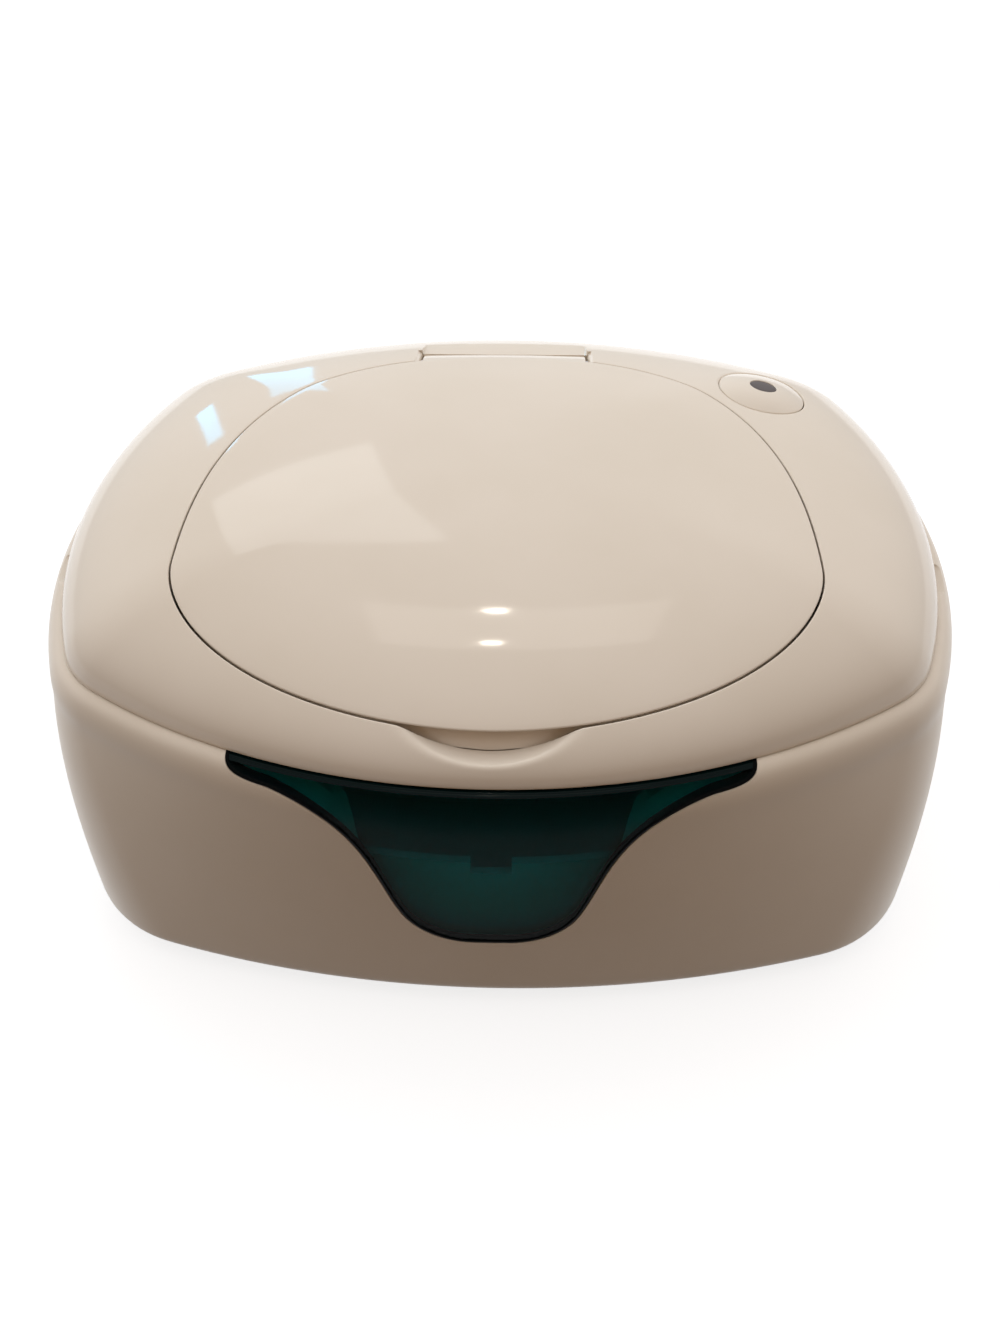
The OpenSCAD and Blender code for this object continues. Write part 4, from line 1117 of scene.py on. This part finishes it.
# How it falls off upwards, leans to the left, adds light from above, and is weaker right behind
SKY_FALL, SKY_LEFT, SKY_TOP, SKY_TOP_P, SKY_GAP = 0.55, 0.13, 0.18, 3.0, 0.85
# Directions along Y between which the rear light grows, and between which the gap in it does
REAR_FROM, REAR_TO, GAP_FROM, GAP_TO = -0.43, -0.02, 0.7, 0.97
# Brightness of the surround at the horizon, where white is 1, and the height of full white
HORIZON, WHITE_UP = 0.66, 0.62
# Floor in metres: its glow goes from near to far down to a bit under the horizon's
FLOOR_HALF, FLOOR_NEAR, FLOOR_FAR, FLOOR_DROP = 6.0, 0.95, 2.2, 0.3
FLOOR_GLOW, FLOOR_SHADE, FLOOR_BOUNCE = 0.80, (0.34, 0.34, 0.34), (0.05, 0.03, 0.02)
MIDDLE = Vector((0, 0, 0.1))

# Where the photograph was taken from, fitted to the outline, the seam and the lid
FRAME_H = 1333
FOCAL_PX, AXIS_ROW = 1189.0, 600.0
TARGET = Vector((0.018, -4.648, 60.591)) * MM
DISTANCE = 0.342
YAW, ELEVATION, ROLL = 1.871 * DEG, 40.404 * DEG, -0.491 * DEG


def floor():
    """White where the camera sees it, with the object's shadow, and dark for its own light."""
    h = FLOOR_HALF
    mesh = bpy.data.meshes.new("floor")
    mesh.from_pydata([(-h, -h, 0), (h, -h, 0), (h, h, 0), (-h, h, 0)], [], [(0, 1, 2, 3)])
    o = bpy.data.objects.new("floor", mesh)
    bpy.context.scene.collection.objects.link(o)
    s = Shader("floor")
    s.tree.nodes.remove(s.bsdf)
    glow, shade = s.add("ShaderNodeEmission"), s.add("ShaderNodeBsdfDiffuse")
    pale, dark = s.add("ShaderNodeAddShader"), s.add("ShaderNodeBsdfDiffuse")
    shade.inputs["Color"].default_value = (*FLOOR_SHADE, 1)
    dark.inputs["Color"].default_value = (*FLOOR_BOUNCE, 1)
    away = s.add("ShaderNodeVectorMath", operation="LENGTH")
    s.link(s.where, away.inputs[0])
    far = HORIZON - FLOOR_DROP
    fade = s.span(away.outputs["Value"], FLOOR_GLOW, far, FLOOR_NEAR, FLOOR_FAR, "SMOOTHSTEP")
    s.link(fade, glow.inputs["Strength"])
    s.link(glow.outputs[0], pale.inputs[0])
    s.link(shade.outputs[0], pale.inputs[1])
    s.choose(dark.outputs[0], pale.outputs[0], "OUTPUT_MATERIAL")
    mesh.materials.append(s.material)


def toward(elevation, azimuth):
    """Direction at an elevation; azimuth 0 is the front, 90 is +X."""
    e, a = elevation * DEG, azimuth * DEG
    return Vector((math.cos(e) * math.sin(a), -math.cos(e) * math.cos(a), math.sin(e)))


def lamp(name, elevation, azimuth, distance, size, level, colour):
    """Soft panel that faces the object, at a brightness where 1 is white."""
    data = bpy.data.lights.new(name, "AREA")
    data.shape, data.size, data.size_y = "RECTANGLE", *size
    data.energy, data.color = level * math.pi * size[0] * size[1], colour
    o = bpy.data.objects.new(name, data)
    way = toward(elevation, azimuth)
    o.location = MIDDLE + way * distance
    o.rotation_mode = "QUATERNION"
    o.rotation_quaternion = (-way).to_track_quat("-Z", "Y")
    bpy.context.scene.collection.objects.link(o)


class Sky(Shader):
    """Studio round the object: light from the sides and the rear, and a white surround."""

    def __init__(self, name):
        world = bpy.data.worlds.new(name)
        bpy.context.scene.world = world
        world.use_nodes = True
        self.tree = world.node_tree
        parts = self.add("ShaderNodeSeparateXYZ")
        self.link(self.add("ShaderNodeTexCoord").outputs["Generated"], parts.inputs[0])
        x, y, z = parts.outputs
        rear = self.span(y, 0, 1, REAR_FROM, REAR_TO, "SMOOTHSTEP")
        low = self.reckon("POWER", self.span(z, 1, 0, 0, 1), SKY_FALL)
        side = self.span(x, 1 + SKY_LEFT, 1 - SKY_LEFT, -1, 1)
        level = self.reckon("MULTIPLY", self.reckon("MULTIPLY", rear, low), side)
        behind = self.span(y, 1, 1 - SKY_GAP, GAP_FROM, GAP_TO, "SMOOTHSTEP")
        level = self.reckon("MULTIPLY", level, behind)
        top = self.reckon("POWER", self.span(z, 0, 1, 0, 1), SKY_TOP_P)
        level = self.reckon("ADD", level, self.reckon("MULTIPLY", top, SKY_TOP))
        soft = self.blend(level, SKY_FRONT, tuple(a + b for a, b in zip(SKY_FRONT, SKY_REAR)))
        soft.node.clamp_factor = False
        light = self.add("ShaderNodeBackground")
        self.link(soft, light.inputs["Color"])
        white = self.tree.nodes["Background"]
        white.inputs["Color"].default_value = (1, 1, 1, 1)
        self.link(self.span(z, HORIZON, 1, 0, WHITE_UP, "SMOOTHSTEP"), white.inputs["Strength"])
        self.choose(light.outputs[0], white.outputs[0], "OUTPUT_WORLD")


def camera():
    flat, c, s = math.cos(ELEVATION), math.cos(ROLL), math.sin(ROLL)
    back = Vector((math.sin(YAW) * flat, -math.cos(YAW) * flat, math.sin(ELEVATION)))
    right = (-back).cross(Vector((0, 0, 1))).normalized()
    up = right.cross(-back)
    right, up = right * c + up * s, up * c - right * s
    data = bpy.data.cameras.new("camera")
    data.sensor_width = 36.0
    data.lens = data.sensor_width * FOCAL_PX / FRAME_H
    data.shift_y = (AXIS_ROW - FRAME_H / 2) / FRAME_H
    data.clip_start, data.clip_end = 0.01, 50
    o = bpy.data.objects.new("camera", data)
    turn = Matrix((right, up, back)).transposed()
    o.matrix_world = Matrix.Translation(TARGET + back * DISTANCE) @ turn.to_4x4()
    bpy.context.scene.collection.objects.link(o)
    bpy.context.scene.camera = o


floor()
Sky("studio")
# Ceiling spots that streak the lid, and the window and wall that show in the gloss behind it
WARM, BLUE, SPOT = (1.0, 0.93, 0.82), (0.1, 0.6, 1.0), (0.055, 0.02)
lamp("spot_a", 68.6, -175.6, 2.3, SPOT, 110, WARM)
lamp("spot_b", 76.0, -172.5, 2.3, SPOT, 110, WARM)
lamp("ceiling", 73, 180, 2.4, (0.9, 0.4), 1.3, (1.0, 0.95, 0.88))
lamp("window", 14, -162, 1.5, (0.19, 0.5), 3.3, BLUE)
lamp("window_slit", 20, -150, 1.5, (0.06, 0.34), 5.4, BLUE)
lamp("wall", 47, -157, 1.6, (0.5, 0.5), 1.55, (0.97, 1.0, 1.0))
camera()
bpy.context.scene.view_settings.view_transform = "Standard"
